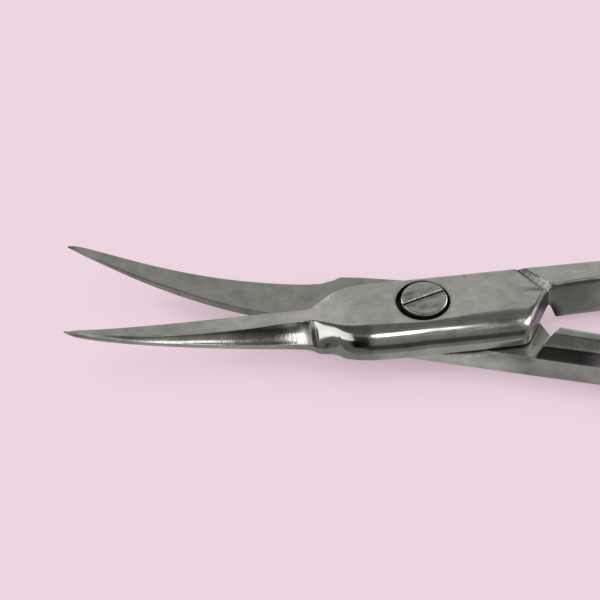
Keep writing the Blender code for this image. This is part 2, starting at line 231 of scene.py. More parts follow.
def hold_card(tree, direction_out, colour_out, sideways, from_top, half_wide, half_tall, level):
    """Darken the room where the sum (side / half width)^4 + (up / half height)^4 is below about one."""
    middle = sky_direction(sideways, from_top)
    upward = (sky_direction(sideways, from_top + 1) - middle).normalized()
    gap = node(tree, "ShaderNodeVectorMath", operation="SUBTRACT", in_1=middle)
    wire(tree, (direction_out, gap.inputs[0]))
    total = 0.0
    for axis, half in (((1.0, 0.0, 0.0), half_wide), (upward, half_tall)):
        reach = node(tree, "ShaderNodeVectorMath", operation="DOT_PRODUCT", in_1=axis)
        wire(tree, (gap.outputs[0], reach.inputs[0]))
        size = maths(tree, "DIVIDE", reach.outputs["Value"], math.radians(half))
        square = maths(tree, "MULTIPLY", size, size)
        total = maths(tree, "ADD", total, maths(tree, "MULTIPLY", square, square))
    cover = node(tree, "ShaderNodeMapRange", interpolation_type="SMOOTHSTEP",
                 in_1=CARD_NONE, in_2=CARD_FULL)
    shade = node(tree, "ShaderNodeMix", data_type="RGBA")
    shade.inputs[7].default_value = (level, level, level, 1.0)
    wire(tree, (total, cover.inputs[0]), (cover.outputs[0], shade.inputs[0]),
         (colour_out, shade.inputs[6]))
    return shade.outputs[2]


room_colour = ramp.outputs["Color"]
for card in CARDS:
    room_colour = hold_card(tree, place.outputs["Generated"], room_colour, *card)
background = node(tree, "ShaderNodeBackground")
output = node(tree, "ShaderNodeOutputWorld")
wire(tree, (room_colour, background.inputs["Color"]), (background.outputs[0], output.inputs["Surface"]))
print(len(CARDS), "cards")

# %% [markdown]
# Five lamps do the rest. A small oval one hangs near the scissors, as a desk lamp does, and draws the
# narrow streak along the bevel: because it is near, the streak begins and ends on the block. A second
# oval and a soft window, one on each side, light the block's corner and the shoulder. Two banks far
# behind keep the shadows on the paper faint.

# %% Lamps
# name, sideways and from-top angle, width and depth (degrees), level, distance (mm), shape
LAMPS = (
    ("desk_lamp", 6.8, 15, 7.8, 13, 4.2, 160.0, "ELLIPSE"),
    ("side_lamp", 31, 20, 30, 32, 1.8, 160.0, "ELLIPSE"),
    ("left_window", -27, 21.5, 36, 35, 1.9, 160.0, "RECTANGLE"),
    ("right_bank", 54, -42, 36, 50, 3.4, 800.0, "RECTANGLE"),
    ("left_bank", -62, -42, 34, 50, 2.8, 800.0, "RECTANGLE"),
)


def softbox(name, sideways, from_top, width, depth, level, distance, shape):
    """Flat lamp by direction. Width and depth are degrees seen from the joint. Level is its brightness."""
    span = [2 * distance * MM * math.tan(math.radians(angle / 2)) for angle in (width, depth)]
    lamp = bpy.data.lights.new(name, "AREA")
    lamp.shape, lamp.size, lamp.size_y = shape, span[0], span[1]
    area = span[0] * span[1] * (math.pi / 4 if shape == "ELLIPSE" else 1)
    lamp.energy = level * math.pi * area
    item = bpy.data.objects.new(name, lamp)
    bpy.context.scene.collection.objects.link(item)
    away = sky_direction(sideways, from_top)
    level_axis = (sky_direction(sideways + 1, from_top) - away).normalized()
    item.matrix_world = Matrix((level_axis, away.cross(level_axis), away)).transposed().to_4x4()
    item.location = away * distance * MM
    item.visible_camera = False


for lamp in LAMPS:
    softbox(*lamp)
print(len(LAMPS), "lamps")

# %% [markdown]
# ## The shape of one half
# Each half is one forging: a curved blade, the joint block, a stepped shank and a ring. Its plan is
# drawn on the meeting plane. "Along" is negative over the blade, "across" is positive towards the
# cutting edge and the straight outer side, and "height" grows from the meeting plane to the outer
# face. Seven corner lines run the whole length. The rows below give their places.

# %% Sizes of a half
OPENING = 19.2               # degrees between the halves at rest
FACE = 0.1                   # height of an inner face above the meeting plane
THICK = 2.25                 # height of the outer face
TIP = 30.1                   # distance of the tip from the pivot
OUTER = 2.5                  # straight outer side
INNER = 4.25                 # rounded inner side
BEND_START, TIP_RISE = 12.0, 2.80       # where the upward curve begins, and how far it lifts the tip
CREASE = -9.20               # where the hollow of the blade ends

# along, inner side, outer side, ridge, ridge height, outer height, inner wall height, bow
BLADE = np.array([
    (-TIP, 0.05, 0.05, 0.01, 0.22, 0.17, 0.16, 0.00),
    (-29.5, 0.36, 0.10, 0.12, 0.30, 0.22, 0.20, -0.02),
    (-28.7, 0.53, 0.25, 0.20, 0.38, 0.28, 0.25, -0.03),
    (-26.9, 0.70, 0.46, 0.32, 0.52, 0.36, 0.30, -0.05),
    (-23.8, 0.86, 0.87, 0.44, 0.72, 0.54, 0.38, -0.07),
    (-20.7, 1.02, 1.20, 0.42, 0.93, 0.66, 0.45, -0.08),
    (-17.7, 1.24, 1.52, 0.38, 1.16, 0.70, 0.50, -0.085),
    (-14.6, 1.56, 1.76, 0.50, 1.45, 0.70, 0.58, -0.09),
    (-12.4, 1.85, 1.80, 0.58, 1.73, 0.71, 0.66, -0.12),
    (-11.5, 1.98, 1.79, 0.62, 1.84, 0.71, 0.68, -0.135),
    (-10.7, 2.10, 1.77, 0.66, 1.93, 0.72, 0.70, -0.10),
    (-10.0, 2.24, 1.76, 0.70, 2.01, 0.73, 0.70, -0.05),
    (-9.6, 2.40, 1.76, 0.75, 2.05, 0.74, 0.70, -0.02),
])
print(len(BLADE), "rows of the blade")

# %% [markdown]
# At the shoulder the slim blade widens into the block that carries the joint. The two halves were
# ground by hand, so their shoulders are not quite alike, and neither are their tips.

# %% Rows of shoulder and block
# along and inner side, front and back
SHOULDER_SIDE = {
    1: ((CREASE, 2.73), (-8.95, 2.87), (-8.6, 2.96), (-7.9, 3.06), (-7.5, 3.25), (-7.2, 3.53),
        (-6.85, 3.74), (-6.2, 3.95), (-5.4, 4.10)),
    -1: ((CREASE, 2.46), (-8.95, 2.58), (-8.6, 2.82), (-8.0, 3.16), (-7.80, 3.46), (-7.60, 3.58),
         (-7.0, 3.68), (-6.2, 3.82), (-5.4, 3.91)),
}
# outer side, ridge, ridge height, outer height, inner wall height, bow at the same nine places
SHOULDER = np.array([
    (1.77, 0.80, 2.07, 0.78, 0.70, 0.04),
    (1.83, 0.92, 2.09, 0.86, 0.71, 0.07),
    (1.96, 1.08, 2.11, 1.02, 0.72, 0.09),
    (2.20, 1.42, 2.15, 1.42, 0.74, 0.12),
    (2.32, 1.62, 2.17, 1.65, 0.75, 0.13),
    (2.38, 1.76, 2.19, 1.79, 0.75, 0.14),
    (2.42, 1.88, 2.20, 1.91, 0.75, 0.15),
    (2.47, 2.02, 2.22, 2.06, 0.75, 0.15),
    (2.50, 2.10, 2.24, 2.18, 0.75, 0.15),
])
TIP_SHORTER = {1: 0.24, -1: 0.0}        # the front blade is ground a little shorter
# along and inner side of the block's first two rows, front and back
BLOCK_START = {1: ((-4.7, 4.22), (-2.4, 4.28)), -1: ((-4.4, 4.02), (-2.4, 4.22))}
# the same eight measures as for the blade
BLOCK = np.array([
    (-4.7, 4.22, OUTER, 2.14, THICK, THICK, 0.75, 0.15),
    (-2.4, 4.28, OUTER, 2.30, THICK, THICK, 0.75, 0.14),
    (-0.4, 4.26, OUTER, 2.48, THICK, THICK, 0.75, 0.135),
    (1.2, INNER, OUTER, 2.38, THICK, THICK, 0.75, 0.135),
    (2.9, INNER, OUTER, 2.20, THICK, THICK, 0.75, 0.15),
    (4.6, 4.24, OUTER, 2.04, THICK, THICK, 0.75, 0.155),
    (6.3, 4.20, OUTER, 1.96, THICK, THICK, 0.75, 0.155),
    (7.7, 4.16, OUTER, 1.93, THICK, THICK, 0.75, 0.155),
])


def body_rows(side):
    """All rows of blade, shoulder and block of one half, without the end face."""
    shoulder = np.concatenate([np.array(SHOULDER_SIDE[side]), SHOULDER], axis=1)
    block = BLOCK.copy()
    block[:2, :2] = BLOCK_START[side]
    blade = BLADE.copy()
    blade[:2, 0] += TIP_SHORTER[side]
    return np.concatenate([blade, shoulder, block])


print(len(body_rows(1)), "rows from the tip to the end of the block")

# %% [markdown]
# Behind the block the inner side turns a corner, runs back in a straight end face to the notch, and
# there the shank begins. The shank reaches past the meeting plane, so the two shanks lie level with
# each other. It starts at a slanted step.

# %% Block end, step and shank
NOTCH = {1: (10.56, -0.02), -1: (10.81, -0.15)}        # inner corner of the notch, front and back
END_ANGLE = {1: 60.9, -1: 50.0}                        # the end face against the half's length
STEP_AT = {1: 10.75, -1: 10.60}                        # step on the centre line, front and back
STEP_SLANT = 0.31                                      # how much earlier it starts per mm across
STEP_DEPTH = 1.60                                      # how far it reaches past the meeting plane
STEP_EASE = 0.6                                        # where the rows before it begin to crowd
END_CHAMFER = 0.85                                     # width of the slope along the end face
SHANK_TOP = 1.97                                       # height of the shank's inner edge


def block_end(side):
    """Rows along the end face: the inner side falls in a straight line to the notch."""
    notch_along, notch_across = NOTCH[side]
    slope = math.tan(math.radians(END_ANGLE[side]))
    corner = notch_along - (INNER + notch_across) / slope
    # Inner side, inner wall height and bow of the seven rows, from the block's corner to the notch
    inner = np.array([INNER, 3.56, 3.02, 2.30, 1.40, 0.62, -notch_across])
    wall = np.array([0.75, 1.45, 1.72, 1.80, 1.82, 1.84, 1.90])
    ridge = np.minimum(inner - END_CHAMFER, SHANK_TOP)
    ridge[-1] = -notch_across - 0.55
    round_off = np.array([0.155, 0.14, 0.12, 0.10, 0.08, 0.06, 0.04])
    along = corner + (INNER - inner) / slope
    flat = np.full_like(along, THICK)
    outer = np.full_like(along, OUTER)
    return np.stack([along, inner, outer, ridge, flat, flat, wall, round_off], axis=1)


print("end face from", np.round(block_end(1)[0, 0], 2), "to", NOTCH[1][0], "mm along")

# %% [markdown]
# A row of measures becomes the seven corners of a section. Five of them draw the outside. Two divide
# the inner face, where the step will lead it past the meeting plane. Rows in front of the step crowd
# together, so that none of them crosses it.

# %% Corners of the sections
STRIPS = (0.2, 0.65)          # where the two inner corner lines run, as shares of the width


def body_corners(rows, side):
    """Seven corner lines of blade and block as an array (row, corner, along/across/height)."""
    along, inner, outer, ridge, ridge_high, outer_high, wall, _ = rows.T
    face = np.full_like(along, FACE)
    across = np.stack([-inner, -inner, -ridge, outer, outer,
                       *(outer - strip * (outer + inner) for strip in STRIPS)], axis=1)
    height = np.stack([face, wall, ridge_high, outer_high, face, face, face], axis=1)
    lengthwise = np.repeat(along[:, None], 7, axis=1)
    limit = STEP_AT[side] - STEP_SLANT * across[:, 4:]
    over = np.maximum(lengthwise[:, 4:] - limit + STEP_EASE, 0)
    lengthwise[:, 4:] = np.minimum(lengthwise[:, 4:], limit - STEP_EASE + 0.5 * over)
    return np.stack([lengthwise, across, height], axis=2)


def shank_corners(side):
    """The seven corners of the step's two rows and of two rows of the angular shank behind it."""
    notch_along, notch_across = NOTCH[side]
    foot = STEP_AT[side]
    lean = STEP_SLANT
    low = -STEP_DEPTH
    return np.array([
        [(notch_along + 0.20, 0.05, FACE), (notch_along + 0.20, 0.05, 1.93),
         (notch_along + 0.20, 0.50, THICK), (notch_along + 0.1, OUTER, THICK),
         (foot - lean * 2.5, OUTER, FACE), (foot - lean * 2.0, 2.0, FACE),
         (foot - lean * 0.9, 0.9, FACE)],
        [(notch_along + 0.76, 0.17, low), (notch_along + 0.60, 0.12, SHANK_TOP),
         (notch_along + 0.60, 0.38, THICK), (notch_along + 0.60, OUTER, THICK),
         (foot - lean * 2.5 + 0.35, OUTER + 0.02, 0.15), (foot - lean * 2.0 + 0.55, 2.02, -1.0),
         (foot - lean * 0.9 + 0.80, 0.90, -1.5)],
        [(12.2, 0.17, low), (12.0, 0.24, 1.98), (12.0, 0.48, THICK), (12.0, OUTER, THICK),
         (11.4, OUTER + 0.04, 0.15), (11.6, 2.03, -1.0), (12.0, 0.90, -1.5)],
        [(14.0, 0.24, low), (14.0, 0.36, 1.98), (14.0, 0.62, THICK), (14.0, OUTER, THICK),
         (14.0, OUTER + 0.04, 0.15), (14.0, 2.03, -1.0), (14.0, 0.92, -1.5)],
    ])


print("shank starts", STEP_AT[1], "mm behind the pivot in front and", STEP_AT[-1], "mm behind")

# %% [markdown]
# Between the rows the surface has to flow without dents, or the reflections would show every row.
# One way is a spline through the rows, but it overshoots next to tight corners. Here the rows are
# joined by straight runs and each station then takes a bell-weighted mean of its neighbours. The
# width of the bell is the softness: wide over the blade, narrow where an edge has to stay crisp.

# %% Smoothing helpers
CORNER_NUMBERS = 7 * 3                                 # seven corners with three measures each


def fade(value, start, end):
    """Smooth step: 0 at start, 1 at end, by 3t^2 - 2t^3."""
    t = np.clip((value - start) / (end - start), 0, 1)
    return t * t * (3 - 2 * t)


def fill_between(values, spacing):
    """Straight-line stations between rows. values is (row, ...), spacing the gap in mm per row."""
    flat = values.reshape(len(values), -1)
    reach = np.abs(np.diff(flat[:, :CORNER_NUMBERS], axis=0)).max(axis=1)
    counts = np.maximum(np.ceil(reach / np.minimum(spacing[:-1], spacing[1:])), 1).astype(int)
    where = np.concatenate([np.arange(count) / count + row for row, count in enumerate(counts)]
                           + [[len(values) - 1]])
    low = np.minimum(where.astype(int), len(values) - 2)
    share = (where - low)[:, None]
    return flat[low] * (1 - share) + flat[low + 1] * share


def soften_along(values, softness, places=None):
    """Bell-weighted mean along the length: weight = spacing * exp(-(gap / softness)^2 / 2)."""
    places = values if places is None else places
    step = np.linalg.norm(np.diff(places, axis=0), axis=2).max(axis=1)
    travelled = np.concatenate([[0], np.cumsum(step)])
    gap = travelled[:, None] - travelled[None, :]
    weight = np.gradient(travelled)[None, :] * np.exp(-0.5 * (gap / softness[:, None]) ** 2)
    weight /= weight.sum(axis=1, keepdims=True)
    return np.einsum("ij,jcd->icd", weight, values)


def soften_around(points, softness):
    """The same mean round each closed section. softness is (station, column) in mm."""
    step = np.linalg.norm(np.roll(points, -1, axis=1) - points, axis=2)
    travelled = np.cumsum(step, axis=1) - step
    total = step.sum(axis=1)[:, None, None]
    gap = np.abs(travelled[:, :, None] - travelled[:, None, :])
    gap = np.minimum(gap, total - gap)
    spacing = (step + np.roll(step, 1, axis=1))[:, None, :] / 2 + 1e-9
    weight = spacing * np.exp(-0.5 * (gap / softness[:, :, None]) ** 2)
    weight /= weight.sum(axis=2, keepdims=True)
    return np.einsum("sij,sjd->sid", weight, points)


print("helpers for rows of", CORNER_NUMBERS, "numbers")

# %% [markdown]
# A section is the loop through the seven corners of one station. Its sides are straight except the
# facet between inner wall and ridge, which is hollow on the blade and round on the block. Columns
# crowd towards the corners, where the surface turns.

# %% Sections
COLUMNS = np.array([9, 22, 24, 22, 10, 14, 14])          # on each side of the section
SIDE_OF = np.repeat(np.arange(7), COLUMNS)
SHARE = np.concatenate([(1 - np.cos(np.pi * np.arange(n) / n)) / 2 for n in COLUMNS])


def sections(corners, bulge):
    """Points round every section: straight sides, plus a parabola on the bowed facet."""
    start = corners[:, SIDE_OF]
    chord = np.roll(corners, -1, axis=1)[:, SIDE_OF] - start
    points = start + chord * SHARE[None, :, None]
    outward = np.stack([0 * chord[..., 0], -chord[..., 2], chord[..., 1]], axis=2)
    rise = 4 * SHARE * (1 - SHARE) * (SIDE_OF == 1)
    return points + outward * (rise[None, :] * bulge[:, None])[..., None]


def lift(points, side):
    """Turn a half's own plan into its place: bend the blade up, then swing it about the pivot."""
    along, across, height = np.moveaxis(points, -1, 0)
    past = np.maximum(np.hypot(along, across) - BEND_START, 0)
    rise = np.where(along < 0, TIP_RISE * (past / (TIP - BEND_START)) ** 2, 0)
    y, z = side * across, rise + side * height + MEETING_PLANE
    swing = side * math.radians(OPENING / 2)
    return np.stack([along * math.cos(swing) - y * math.sin(swing),
                     along * math.sin(swing) + y * math.cos(swing), z], axis=-1)


print(COLUMNS.sum(), "columns round a section")

# %% [markdown]
# Past the joint the shank stays angular for a few millimetres. Then it turns into a slim oval bar that
# runs into its finger ring. A bar could be swept along a curve object. Here the last section of the
# half is carried on instead, point by point, so that no seam shows where the two forms meet.

# %% Shank and ring sizes
HANDLE_LENGTH = 70.0         # from the pivot to the ring's far end
RING_LENGTH, RING_WIDTH = 25.0, 20.5                   # opening
BAND_WIDTH, BAND_HEIGHT = 3.0, 3.8
RING_GAP = 1.2               # between the two rings when the scissors are shut
SHANK_WIDTH, SHANK_HEIGHT = 2.5, 3.7
SHANK_REACH = 0.93           # share of the way to the ring's middle where the shank ends
OVAL_AT = 0.42               # share of the shank after which it is fully oval


def ring_place(turn):
    """Centre line of the ring: an ellipse beside the half's length, as along and across."""
    half_length, half_width = (RING_LENGTH + BAND_WIDTH) / 2, (RING_WIDTH + BAND_WIDTH) / 2
    middle = HANDLE_LENGTH - BAND_WIDTH / 2 - half_length
    return np.stack([middle + half_length * np.cos(turn),
                     RING_GAP / 2 + BAND_WIDTH / 2 + half_width * (1 + np.sin(turn))], axis=-1)


def shank_tube(first, count=150):
    """Carry the last angular section along the shank's curve while it turns into an oval."""
    last = first[0, 0]
    reach = ring_place(math.radians(-90))[0] - last
    end_turn = -math.acos((SHANK_REACH - 1) * reach / (ring_place(0.0)[0] - reach - last))
    share = np.linspace(0, 1, count + 1)[1:]
    middle = (first[:, 1].min() + first[:, 1].max()) / 2
    drift = (ring_place(end_turn)[1] - middle) * fade(share, 0, 1)
    around = np.arctan2(first[:, 2] / SHANK_HEIGHT, (first[:, 1] - middle) / SHANK_WIDTH)
    oval = np.stack([middle + SHANK_WIDTH / 2 * np.cos(around), SHANK_HEIGHT / 2 * np.sin(around)], 1)
    mix = fade(share, 0, OVAL_AT)[:, None, None]
    flat = first[None, :, 1:] * (1 - mix) + oval[None] * mix
    flat[..., 0] += drift[:, None]
    along = last + share * reach * SHANK_REACH
    return np.concatenate([np.repeat(along[:, None], len(first), 1)[..., None], flat], axis=2)


print("shank ends beside a ring of", RING_LENGTH, "x", RING_WIDTH, "mm")

# %% [markdown]
# Now the whole surface of a half becomes one grid: stations along its length, columns round its
# section. Every row brings its own softness. It is narrow at the blade's crease and at the notch,
# where an edge has to stay crisp, and wide on the blade, which the wheel ground in one sweep.

# %% Surface of one half
# along, and the softness of a row that lies there
SOFTNESS = ((-29.8, 0.03), (-29.0, 0.3), (-27.0, 0.9), (-13.0, 1.0), (-12.0, 0.5), (-10.3, 0.3), (-9.4, 0.08),
            (CREASE, 0.05), (-8.8, 0.14), (-5.4, 0.2), (-4.4, 0.5), (6.5, 0.5), (8.2, 0.54))
END_SOFTNESS = (0.54, 0.10)                            # from the block's corner to the notch
SHANK_SOFTNESS = (0.07, 0.07, 0.2, 0.3)                # of the four rows behind the notch
SHANK_BULGE = 0.04
FINEST, COARSEST = 0.03, 0.16                          # gap between two stations
# How far the seven edges are rounded, on blade and block and on the shank
EDGES = np.array([0.04, 0.05, 0.05, 0.03, 0.06, 0.04, 0.04])
SHANK_EDGES = np.array([0.12, 0.05, 0.05, 0.06, 0.14, 0.10, 0.10])
SHANK_FROM, SHANK_FULL = 10.5, 12.0
FINE_TIP, FINE_TIP_LENGTH = 0.08, 6.0                  # the tip's edges are that much finer


def half_grid(side):
    """All points of a half before it is bent and swung, as (station, column, 3)."""
    end = block_end(side)
    body = np.concatenate([body_rows(side), end])
    corners = np.concatenate([body_corners(body, side), shank_corners(side)])
    bulge = np.concatenate([body[:, -1], np.full(len(SHANK_SOFTNESS), SHANK_BULGE)])
    softness = np.interp(body[:, 0], *np.array(SOFTNESS).T)
    softness[-len(end):] = np.linspace(*END_SOFTNESS, len(end))
    softness = np.concatenate([softness, SHANK_SOFTNESS])
    packed = np.concatenate([corners.reshape(len(corners), -1), bulge[:, None], softness[:, None]], axis=1)
    filled = fill_between(packed, np.clip(softness / 3, FINEST, COARSEST))
    corners, softness = filled[:, :CORNER_NUMBERS].reshape(-1, 7, 3), filled[:, -1]
    corners = soften_along(corners, softness)
    bulges = filled[:, None, CORNER_NUMBERS:-1] * np.ones((1, 7, 3))
    bow = soften_along(bulges, softness, corners)[:, 0, 0]
    return soften_around(sections(corners, bow), edge_softness(corners))


def edge_softness(corners):
    """How far each column is rounded: the edge's own measure, finer towards the tip."""
    along = corners[:, 1, 0]
    size = np.clip((along + TIP) / FINE_TIP_LENGTH, FINE_TIP, 1)[:, None]
    shank = np.clip((along - SHANK_FROM) / (SHANK_FULL - SHANK_FROM), 0, 1)[:, None]
    per_corner = (EDGES[None] * (1 - shank) + SHANK_EDGES[None] * shank) * size
    near = np.where(SHARE < 0.5, SIDE_OF, (SIDE_OF + 1) % 7)
    return per_corner[:, near]


grids = {}
for side in (1, -1):
    grid = half_grid(side)
    grids[side] = np.concatenate([grid, shank_tube(grid[-1])])
    print("half", side, "has", grids[side].shape[:2], "stations and columns")

# %% [markdown]
# A grid of points becomes a mesh with one four-sided face per cell. Whether the faces point outwards
# depends on the order of the points, and the back half is drawn upside down. The signed volume
# tells: where it is negative, all faces are turned.

# %% Closed meshes
def read(items, name, width=1, kind=np.int64):
    """One property of all vertices, edges or faces as a flat array."""
    values = np.empty(len(items) * width, dtype=kind)
    items.foreach_get(name, values)
    return values


def vertex_places(mesh):
    """Vertices of a mesh as an array (vertex, 3), in metres."""
    return read(mesh.vertices, "co", 3, float).reshape(-1, 3)


def volume_of(mesh):
    """Signed volume: the sum over triangles of a . (b x c) / 6. Negative means inside out."""
    mesh.calc_loop_triangles()
    corners = read(mesh.loop_triangles, "vertices", 3).reshape(-1, 3)
    a, b, c = np.moveaxis(vertex_places(mesh)[corners], 1, 0)
    return float(np.einsum("ij,ij->i", a, np.cross(b, c)).sum() / 6)


def closed_mesh(name, points, faces):
    """Mesh from points in mm and the faces between them, all pointing outwards."""
    mesh = bpy.data.meshes.new(name)
    mesh.from_pydata((points.reshape(-1, 3) * MM).tolist(), [], faces)
    mesh.update()
    if volume_of(mesh) < 0:
        mesh.flip_normals()
    return mesh


def closed_tube(name, points):
    """Grid of sections: four-sided faces between neighbours and a flat face on each end."""
    stations, columns = points.shape[:2]
    index = np.arange(stations * columns).reshape(stations, columns)
    after = np.roll(index, -1, axis=1)
    faces = np.stack([index[:-1], index[1:], after[1:], after[:-1]], axis=-1).reshape(-1, 4).tolist()
    return closed_mesh(name, points, faces + [index[0].tolist(), index[-1][::-1].tolist()])


print("tubes can be closed")

# %% [markdown]
# The finger ring is forged in one with the bar. A torus would give a round one. This one is oval
# both in its path and in its section, so its section is carried round by the path's own direction,
# and the grid closes both ways.

# %% Halves and rings
def closed_ring(name, points):
    """Grid of sections whose last one joins the first."""
    stations, columns = points.shape[:2]
    index = np.arange(stations * columns).reshape(stations, columns)
    ahead, after = np.roll(index, -1, axis=0), np.roll(index, -1, axis=1)
    both = np.roll(ahead, -1, axis=1)
    return closed_mesh(name, points, np.stack([index, ahead, both, after], axis=-1).reshape(-1, 4).tolist())


def ring_grid(steps=176, columns=44):
    """Oval band: an ellipse section carried round the ring's centre line."""
    turn = np.linspace(0, 2 * np.pi, steps, endpoint=False)
    around = np.linspace(0, 2 * np.pi, columns, endpoint=False)
    slope = ring_place(turn + 1e-4) - ring_place(turn - 1e-4)
    slope /= np.linalg.norm(slope, axis=1, keepdims=True)
    outward = np.stack([slope[:, 1], -slope[:, 0]], axis=1)
    flat = ring_place(turn)[:, None] + outward[:, None] * (BAND_WIDTH / 2 * np.cos(around))[None, :, None]
    height = np.broadcast_to(BAND_HEIGHT / 2 * np.sin(around), flat.shape[:2])
    return np.concatenate([flat, height[..., None]], axis=2)


pieces, rings = {}, {}
for side, name in ((1, "front"), (-1, "back")):
    body = closed_tube(name + "_half_steel", lift(grids[side], side))
    band = closed_ring(name + "_ring_steel", lift(ring_grid(), side))
    pieces[side], rings[side] = link_mesh(body.name, body), link_mesh(band.name, band)
    print(name, "volume in cubic mm:", round(volume_of(body) * 1e9, 1), round(volume_of(band) * 1e9, 1))

# %% [markdown]
# Shank and ring are one forging, so a Boolean union makes them one closed skin, and later cuts drill
# the holes and file the groove. A cut makes new vertices, but it keeps the material of each face. So
# every face first gets a numbered material that says which part of the forging it is.

# %% Join and cut
# 0 to 6 are the sides of a section: inner wall, rounded side, flat face, outer side, and three strips
# of the inner face. The two end caps of a half count as strip 4. One is the tiny flat at the tip and
# the other ends inside the ring.
REGION_COUNT, RING_REGION, RECESS_REGION, GROOVE_REGION = 10, 7, 8, 9
END_CAPS = [4, 4]
region_tags = [bpy.data.materials.new("region") for _ in range(REGION_COUNT)]


def mark_regions(item, regions):
    """Give every face the number of its region."""
    item.data.materials.clear()
    for tag in region_tags:
        item.data.materials.append(tag)
    item.data.polygons.foreach_set("material_index", np.asarray(regions, dtype=np.int32))


def cut(item, tool, operation):
    """Apply one Boolean and keep the result as the item's own mesh."""
    modifier = item.modifiers.new(tool.name, "BOOLEAN")
    modifier.operation, modifier.solver, modifier.object = operation, "EXACT", tool
    graph = bpy.context.evaluated_depsgraph_get()
    done = bpy.data.meshes.new_from_object(item.evaluated_get(graph), depsgraph=graph)
    item.modifiers.clear()
    old = item.data
    item.data = done
    done.name = item.name
    bpy.data.meshes.remove(old)
    bpy.data.objects.remove(tool, do_unlink=True)


def cut_away(piece, tool, region):
    """Take a tool's shape out of a piece. The new walls get the region's number."""
    mark_regions(tool, np.full(len(tool.data.polygons), region))
    cut(piece, tool, "DIFFERENCE")


for side in (1, -1):
    stations = len(grids[side]) - 1
    mark_regions(pieces[side], np.concatenate([np.tile(SIDE_OF, stations), END_CAPS]))
    mark_regions(rings[side], np.full(len(rings[side].data.polygons), RING_REGION))
    cut(pieces[side], rings[side], "UNION")
    print(pieces[side].name, "has", len(pieces[side].data.polygons), "faces")

# %% [markdown]
# The pivot screw came off a lathe: a slotted head that sits in a round recess, a plain shoulder that
# the front half turns on, and a threaded end that is ground flush with the back half. So screw,
# recess and bore are all turned from a profile of radius and height. The head is worn and sits a
# little off its shoulder. The slot's lips are worn round as well, which makes them shine.

# %% Turned shapes
TOP_FACE = 2 * THICK
HEAD_CENTRE = (0.10, 0.08)
HEAD_RADIUS, HEAD_TOP = 1.94, TOP_FACE + 0.2
RECESS_RADIUS, RECESS_DEPTH = 2.25, 0.95
SHOULDER_RADIUS, THREAD_RADIUS, BORE_GAP = 1.35, 1.05, 0.1
SEAT = TOP_FACE - RECESS_DEPTH                         # floor of the recess
SEAT_GAP, END_BEVEL, LIP = 0.15, 0.12, 0.3
POLE = 0.02                                            # radius of the small flat at a turned end
SLOT_ANGLE, SLOT_WIDTH, SLOT_DEPTH = 27.5, 0.46, 0.20
PAST_END = 6.0                                         # height at which the recess tool ends, in the open


def turned(name, profile, sides=96):
    """Lathe work: each (radius, height) point becomes a circle of points about the pivot axis."""
    radius, height = np.array(profile).T
    turn = np.linspace(0, 2 * np.pi, sides, endpoint=False)
    x, y = radius[:, None] * np.cos(turn), radius[:, None] * np.sin(turn)
    points = np.stack([x, y, np.broadcast_to(height[:, None], x.shape)], axis=-1)
    return link_mesh(name, closed_tube(name, points))


shoulder_bore, thread_bore = SHOULDER_RADIUS + BORE_GAP, THREAD_RADIUS + BORE_GAP
recess = turned("recess", [(shoulder_bore, -1.0), (shoulder_bore, SEAT), (RECESS_RADIUS, SEAT),
                           (RECESS_RADIUS, TOP_FACE - 0.04), (RECESS_RADIUS + LIP, TOP_FACE - 0.04 + LIP),
                           (RECESS_RADIUS + LIP, PAST_END)])
cut_away(pieces[1], recess, RECESS_REGION)
cut_away(pieces[-1], turned("bore", [(thread_bore, -1.0), (thread_bore, 4.0)]), RECESS_REGION)
screw_profile = [(POLE, 0.0), (THREAD_RADIUS - END_BEVEL, 0.0), (THREAD_RADIUS, END_BEVEL),
                 (THREAD_RADIUS, THICK), (SHOULDER_RADIUS, THICK), (SHOULDER_RADIUS, SEAT + SEAT_GAP - 0.1),
                 (SHOULDER_RADIUS, SEAT + SEAT_GAP), (HEAD_RADIUS, SEAT + SEAT_GAP),
                 (HEAD_RADIUS, HEAD_TOP - 0.16), (HEAD_RADIUS - 0.02, HEAD_TOP - 0.08),
                 (HEAD_RADIUS - 0.08, HEAD_TOP - 0.02), (HEAD_RADIUS - 0.18, HEAD_TOP)]
screw_profile += [(radius, HEAD_TOP) for radius in np.linspace(HEAD_RADIUS - 0.3, POLE, 14)]
screw = turned("pivot_screw_steel", screw_profile)
places = vertex_places(screw.data)
places[places[:, 2] > (SEAT + SEAT_GAP - 0.01) * MM, :2] += np.array(HEAD_CENTRE) * MM
screw.data.vertices.foreach_set("co", places.ravel())
print("screw turned, head at", HEAD_CENTRE)

# %% [markdown]
# A screw slot is sawn straight across the head. Its tool is a prism: the outline of the slot with its
# two worn lips, carried along the slot's heading.

# %% Screw slot
def prism(name, outline, start, end, turn, centre, stations=40):
    """A closed outline in (sideways, height), carried straight from start to end along a heading."""
    sideways, height = np.array(outline).T
    reach = np.linspace(start, end, stations)
    u = np.broadcast_to(reach[:, None], (stations, len(outline)))
    v = np.broadcast_to(sideways[None], u.shape)
    angle = math.radians(turn)
    x = centre[0] + u * math.cos(angle) - v * math.sin(angle)
    y = centre[1] + u * math.sin(angle) + v * math.cos(angle)
    points = np.stack([x, y, np.broadcast_to(height[None], u.shape)], axis=-1)
    return link_mesh(name, closed_tube(name, points))


